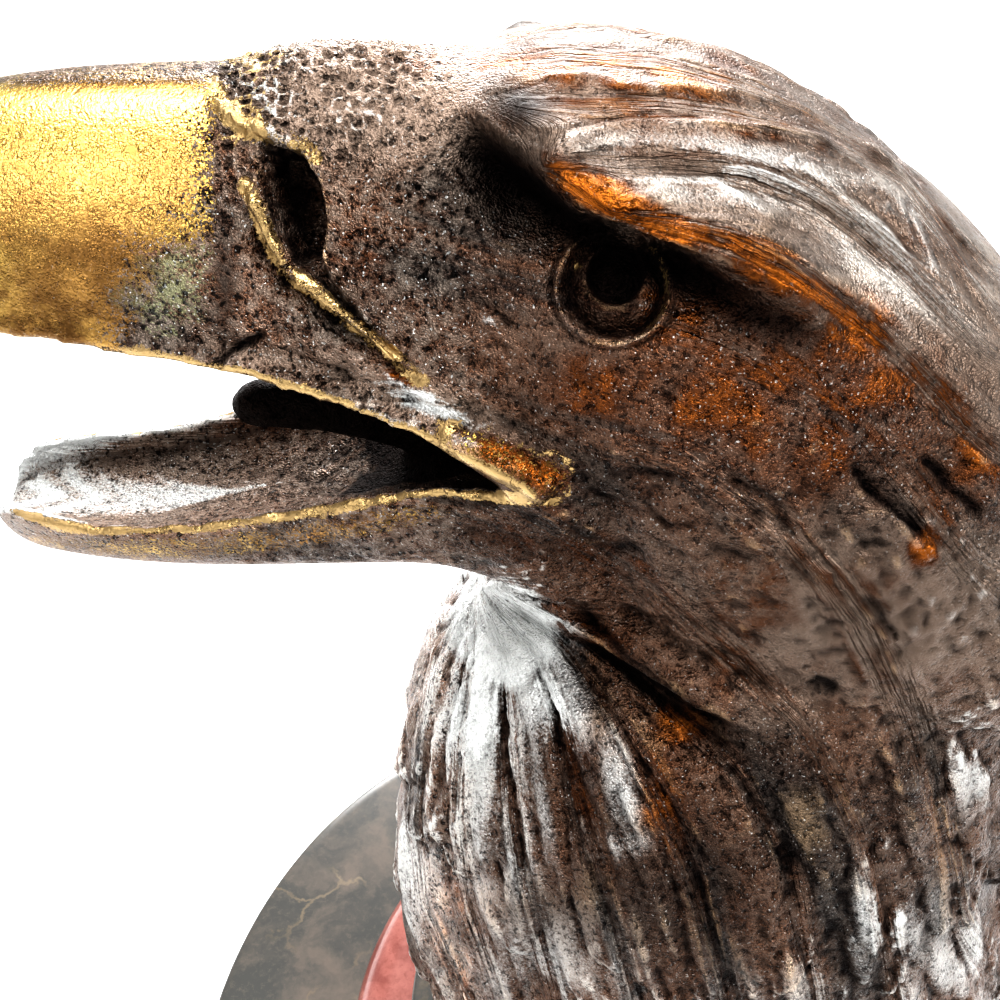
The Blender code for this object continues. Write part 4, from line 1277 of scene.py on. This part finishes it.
    metal = wiring.math("MAXIMUM", wiring.math("MAXIMUM", shiny, hollow), wiring.span(warm, 0.2, 0.8))
    metal = wiring.math("MULTIPLY_ADD", metal, 0.16, 0.82)
    metal = wiring.math("MULTIPLY", metal, wiring.span(pale, 0.0, 1.0, 1.0, 0.3))
    wiring.feed(shader["Metallic"], wiring.math("MULTIPLY", metal, wiring.span(green, 0.0, 1.0, 1.0, 0.4)))
    rough = wiring.math("MULTIPLY_ADD", mottle, 0.16, 0.20)
    rough = wiring.math("MULTIPLY_ADD", pale, 0.2, rough)
    rough = wiring.math("MULTIPLY_ADD", hollow, 0.25, rough)
    rough = wiring.math("MULTIPLY_ADD", gold, -0.05, rough)
    rough = wiring.math("MULTIPLY_ADD", sheen_zone, 0.13, rough)
    wiring.feed(shader["Roughness"], rough)
    relief = wiring.math("MULTIPLY", height, wiring.span(shiny, 0.0, 1.0, 1.0, 0.12))
    relief = wiring.math("MULTIPLY", relief, smooth)
    combed = wiring.math("MULTIPLY", wiring.math("MULTIPLY", streaks, dull), feathered)
    relief = wiring.math("MULTIPLY_ADD", combed, 0.8, relief)
    bumped = wiring.add("ShaderNodeBump", {"Strength": 1.0, "Distance": 0.0024, "Height": relief})
    wiring.feed(shader["Normal"], bumped.outputs[0])
    return finish


def vein_group():
    """Thin wandering veins and soft clouds, as in marble."""
    takes = (("Place", "V"), ("Size", "F"), ("Width", "F"))
    gives = (("Vein", "F"), ("Cloud", "F"), ("Fleck", "F"))
    wiring, taken, given = new_group("marble_veins", takes, gives)
    size = wiring.add("ShaderNodeCombineXYZ", dict.fromkeys(range(3), taken["Size"])).outputs[0]
    scaled = wiring.add("ShaderNodeVectorMath", {0: taken["Place"], 1: size}, operation="DIVIDE").outputs[0]
    wavy = {"Vector": scaled, "Scale": 1.4, "Detail": 5.0, "Roughness": 0.6}
    wander = wiring.add("ShaderNodeTexNoise", wavy)
    shifted = wiring.add("ShaderNodeVectorMath", {0: wander.outputs["Color"], 1: (0.9, 0.9, 0.9), 2: scaled})
    shifted.operation = "MULTIPLY_ADD"
    plates = {"Vector": shifted.outputs[0], "Scale": 0.9}
    edges = wiring.add("ShaderNodeTexVoronoi", plates, feature="DISTANCE_TO_EDGE")
    vein = wiring.span(edges.outputs["Distance"], 0.0, taken["Width"], 1.0, 0.0)
    patchy = wiring.noise(scaled, 1.2, 3.0, 0.6)
    wiring.feed(given["Vein"], wiring.math("MULTIPLY", vein, wiring.span(patchy, 0.48, 0.66)))
    wiring.feed(given["Cloud"], wiring.span(wiring.noise(shifted.outputs[0], 0.9, 5.0, 0.62), 0.38, 0.66))
    wiring.feed(given["Fleck"], wiring.span(wiring.noise(scaled, 0.06, 4.0, 0.7), 0.50, 0.72))
    return wiring.tree


def marble_finish(name, group, size, width, stone, cloudy, vein, shine):
    finish, wiring, shader = new_finish(name)
    marks = wiring.add("ShaderNodeGroup")
    marks.node_tree = group
    wiring.feed(marks.inputs["Place"], wiring.place())
    wiring.feed(marks.inputs["Size"], size)
    wiring.feed(marks.inputs["Width"], width)
    base = wiring.mix(marks.outputs["Cloud"], (*stone, 1), (*cloudy, 1))
    base = wiring.mix(wiring.math("MULTIPLY", marks.outputs["Fleck"], 0.45), base, (*cloudy, 1))
    base = wiring.mix(wiring.math("MULTIPLY", marks.outputs["Vein"], 0.4), base, (*vein, 1))
    wiring.feed(shader["Base Color"], base)
    wiring.feed(shader["Roughness"], wiring.math("MULTIPLY_ADD", marks.outputs["Vein"], 0.12, shine))
    wiring.feed(shader["Coat Weight"], 0.5)
    wiring.feed(shader["Coat Roughness"], 0.30)
    return finish


def turned_piece(name, profile, steps=192):
    """Spins a profile of (radius, height) about the axis into a closed piece."""
    mesh = bmesh.new()
    places = [mesh.verts.new((radius, 0, height)) for radius, height in profile]
    edges = [mesh.edges.new(pair) for pair in zip(places, places[1:])]
    bmesh.ops.spin(
        mesh,
        geom=places + edges,
        cent=(0, 0, 0),
        axis=(0, 0, 1),
        angle=2 * math.pi,
        steps=steps,
        use_merge=True,
    )
    bmesh.ops.remove_doubles(mesh, verts=mesh.verts, dist=0.000002)
    bmesh.ops.recalc_face_normals(mesh, faces=mesh.faces)
    for face in mesh.faces:
        face.smooth = True
    return mesh_object(name, mesh)


def slab_profile(radius, low, high, rounding, steps=6):
    """A disc with rounded upper and lower edges."""
    turns = [math.pi / 2 * step / steps for step in range(steps + 1)]
    inner = radius - rounding
    upper = [(inner + rounding * math.sin(a), high - rounding + rounding * math.cos(a)) for a in turns]
    lower = [(inner + rounding * math.cos(a), low + rounding - rounding * math.sin(a)) for a in turns]
    return [(0, high), (inner * 0.98, high), *upper, *lower, (inner * 0.98, low), (0, low)]


def torus_profile(radius, low, high, steps=24):
    """A disc whose rim is a half round."""
    half = (high - low) / 2
    turns = [math.pi / 2 - math.pi * step / steps for step in range(steps + 1)]
    rim = [(radius - half + half * math.cos(a), low + half + half * math.sin(a)) for a in turns]
    inner = (radius - half) * 0.98
    return [(0, high), (inner, high), *rim, (inner, low), (0, low)]


def tint(name, description, default):
    """A colour that the panel shows."""
    return bpy.props.FloatVectorProperty(
        name=name, description=description, subtype="COLOR", size=3, default=default
    )


class BustLooks(bpy.types.PropertyGroup):
    dark_bronze: tint("Dark bronze", "Darkest brown of the casting", (0.006, 0.004, 0.0035))
    brown_bronze: tint("Brown bronze", "Purple brown of the crown", (0.055, 0.026, 0.014))
    grey_bronze: tint("Grey bronze", "Grey of the granular skin", (0.080, 0.067, 0.056))
    worn_bronze: tint("Worn bronze", "Tan of rubbed ridges", (0.40, 0.28, 0.17))
    red_patina: tint("Red patina", "Red brown translucent patina", (0.044, 0.016, 0.006))
    orange_patina: tint("Orange patina", "Orange translucent patina", (0.19, 0.064, 0.010))
    # Also painted shade under the brow and jaw, in the nostril, the eye and the grooves
    hollow_and_shade_black: tint("Hollows", "Near black of the deep hollows", (0.003, 0.002, 0.002))
    # Also the white of the painted glints on the grain
    dry_brush_and_glints: tint("Dry brush", "Grey white brushed over the plume", (0.60, 0.61, 0.60))
    deep_gold: tint("Deep gold", "Darker gold of the bill", (0.62, 0.36, 0.12))
    polished_gold: tint("Polished gold", "Brightest gold of the bill", (0.86, 0.63, 0.19))
    # Also paints the eye's glint and the highlight on the lid ring
    rubbed_gold_and_glints: tint("Crest gold", "Rubbed gold of the sharp ridges", (0.38, 0.27, 0.13))
    # Lighter purple brown that paints the satin sheen on the crown, neck, cere and mouth
    painted_sheen_bronze: tint("Crown bronze", "Satin purple brown of the crown", (0.118, 0.088, 0.069))
    orange_gold: tint("Orange gold", "Warm stains on the bill", (0.62, 0.33, 0.11))
    # Tarnish on the bill's top, and painted shade towards its underside
    tarnish_and_shade_gold: tint("Tarnished gold", "Dull brown gold under the bill", (0.115, 0.060, 0.020))
    verdigris: tint("Verdigris", "Grey green bloom on the bill", (0.07, 0.075, 0.035))


class PlinthLooks(bpy.types.PropertyGroup):
    edge_rounding: bpy.props.FloatProperty(
        name="Edge rounding",
        description="Radius of the slabs' edges",
        subtype="DISTANCE",
        unit="LENGTH",
        default=0.0012,
    )
    dark_stone: tint("Dark marble", "Ground of the dark marble", (0.036, 0.036, 0.032))
    dark_cloud: tint("Dark marble clouds", "Pinkish brown clouds", (0.10, 0.080, 0.064))
    dark_vein: tint("Dark marble veins", "Tan veins", (0.20, 0.14, 0.07))
    red_stone: tint("Red marble", "Ground of the red marble", (0.29, 0.105, 0.085))
    red_cloud: tint("Red marble clouds", "Darker clouds", (0.13, 0.025, 0.018))
    red_vein: tint("Red marble veins", "Pale veins", (0.45, 0.24, 0.19))


class StageLooks(bpy.types.PropertyGroup):
    floor_colour: tint("Floor", "Plain pale floor", (0.92, 0.92, 0.92))
    key_power: bpy.props.FloatProperty(
        name="Light", description="Power that the softboxes share", subtype="POWER", unit="POWER", default=6.0
    )
    surround: bpy.props.FloatProperty(
        name="Surround", description="Brightness of the white surroundings", default=0.8
    )


class EAGLE_OT_bust(bpy.types.Operator):
    """Carves the eagle head bust and gives it its patinated bronze"""

    bl_idname = "eagle.bust"
    bl_label = "Eagle head bust"

    def execute(self, context):
        piece = bust_form()
        carve_bust(piece)
        piece.data.materials.clear()
        piece.data.materials.append(bronze_finish(context.scene.eagle_bust_looks))
        piece.data.shade_smooth()
        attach(piece, BODY)
        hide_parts("eagle_bust")
        return {"FINISHED"}


class EAGLE_OT_plinth(bpy.types.Operator):
    """Turns the plinth's three marble pieces"""

    bl_idname = "eagle.plinth"
    bl_label = "Marble plinth"

    def execute(self, context):
        looks = context.scene.eagle_plinth_looks
        group = vein_group()
        dark = marble_finish(
            "dark_marble", group, 34.0, 0.03, looks.dark_stone, looks.dark_cloud, looks.dark_vein, 0.14
        )
        red = marble_finish(
            "red_marble", group, 30.0, 0.02, looks.red_stone, looks.red_cloud, looks.red_vein, 0.10
        )
        rounding = looks.edge_rounding
        for name, node, slot, finish, shape in (
            ("marble_base_disc", "base_disc", "dark_marble", dark, "slab"),
            ("red_marble_moulding", "red_marble_ring", "red_marble", red, "torus"),
            ("marble_top_tier", "top_tier", "dark_marble", dark, "slab"),
        ):
            low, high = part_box(node)
            if shape == "torus":
                profile = torus_profile(high.x, low.z, high.z)
            else:
                profile = slab_profile(high.x, low.z, high.z, rounding)
            piece = turned_piece(name, profile)
            piece.data.materials.append(finish)
            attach(piece, BODY)
            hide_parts(node)
        return {"FINISHED"}


# Softboxes: place and aim in metres, side, share of the light's power and spread in degrees
SOFTBOXES = (
    ("overhead_softbox", (-0.22, -0.04, 1.1), (-0.14, 0.12, 0.1), 0.72, 0.9, 130),
    ("rear_softbox", (0.0, 2.1, 1.3), (0.0, 0.8, 0.0), 1.4, 11, 150),
    ("front_softbox", (-0.75, -0.95, 0.75), (-0.15, 0.0, 0.25), 0.6, 0.27, 110),
    ("right_softbox", (0.75, -0.55, 0.95), (0.0, 0.0, 0.25), 0.6, 1.0, 120),
)


class EAGLE_OT_stage(bpy.types.Operator):
    """Sets the pale floor, the soft lights and the camera"""

    bl_idname = "eagle.stage"
    bl_label = "Floor, light and camera"

    def execute(self, context):
        looks = context.scene.eagle_stage_looks
        scene = context.scene
        mesh = bmesh.new()
        bmesh.ops.create_grid(mesh, x_segments=1, y_segments=1, size=6.0)
        floor = mesh_object("pale_floor", mesh)
        finish, _, shader = new_finish("pale_floor")
        shader["Base Color"].default_value = (*looks.floor_colour, 1)
        shader["Roughness"].default_value = 0.9
        floor.data.materials.append(finish)
        for name, place, aim, size, share, spread in SOFTBOXES:
            add_softbox(name, place, aim, size, looks.key_power * share, spread)
        world = bpy.data.worlds.new("white_surroundings")
        world.use_nodes = True
        wiring = Wiring(world.node_tree)
        way = wiring.add("ShaderNodeTexCoord").outputs["Generated"]
        _, behind, up = wiring.add("ShaderNodeSeparateXYZ", {0: way}).outputs
        away = wiring.math("MULTIPLY_ADD", up, 0.5, behind)
        bright = wiring.span(away, -0.5, 0.7, looks.surround * 0.25, looks.surround)
        back = wiring.add("ShaderNodeBackground", {"Color": (1, 1, 1, 1), "Strength": bright})
        wiring.add("ShaderNodeOutputWorld", {"Surface": back.outputs[0]})
        scene.world = world
        scene.view_settings.view_transform = "Standard"
        scene.view_settings.look = "High Contrast"
        camera = bpy.data.objects.new("camera", bpy.data.cameras.new("camera"))
        camera.data.sensor_width = SENSOR_WIDTH
        camera.data.lens = CAMERA_FOCUS * SENSOR_WIDTH / PICTURE_WIDTH
        camera.location = CAMERA_PLACE * UNIT
        camera.rotation_euler = (math.pi / 2 - CAMERA_TILT, 0, 0)
        scene.collection.objects.link(camera)
        scene.camera = camera
        return {"FINISHED"}


def add_softbox(name, place, aim, size, power, spread):
    light = bpy.data.lights.new(name, "AREA")
    light.shape = "SQUARE"
    light.size = size
    light.energy = power
    light.spread = math.radians(spread)
    lamp = bpy.data.objects.new(name, light)
    lamp.location = place
    lamp.rotation_euler = (Vector(aim) - Vector(place)).to_track_quat("-Z", "Y").to_euler()
    bpy.context.scene.collection.objects.link(lamp)


class EAGLE_PT_panel(bpy.types.Panel):
    bl_label = "Eagle Head Bust"
    bl_idname = "EAGLE_PT_panel"
    bl_space_type = "VIEW_3D"
    bl_region_type = "UI"
    bl_category = "Eagle Bust"

    def draw(self, context):
        scene = context.scene
        groups = ((EAGLE_OT_bust, scene.eagle_bust_looks), (EAGLE_OT_plinth, scene.eagle_plinth_looks))
        for operator, looks in (*groups, (EAGLE_OT_stage, scene.eagle_stage_looks)):
            box = self.layout.box()
            for name in looks.__annotations__:
                box.prop(looks, name)
            box.operator(operator.bl_idname)


CLASSES = (BustLooks, PlinthLooks, StageLooks, EAGLE_OT_bust, EAGLE_OT_plinth, EAGLE_OT_stage, EAGLE_PT_panel)


def register():
    for each in CLASSES:
        bpy.utils.register_class(each)
    bpy.types.Scene.eagle_bust_looks = bpy.props.PointerProperty(type=BustLooks)
    bpy.types.Scene.eagle_plinth_looks = bpy.props.PointerProperty(type=PlinthLooks)
    bpy.types.Scene.eagle_stage_looks = bpy.props.PointerProperty(type=StageLooks)


def unregister():
    del bpy.types.Scene.eagle_stage_looks
    del bpy.types.Scene.eagle_plinth_looks
    del bpy.types.Scene.eagle_bust_looks
    for each in reversed(CLASSES):
        bpy.utils.unregister_class(each)


def main():
    register()
    bpy.ops.eagle.bust()
    bpy.ops.eagle.plinth()
    bpy.ops.eagle.stage()


if __name__ == "__main__":
    main()
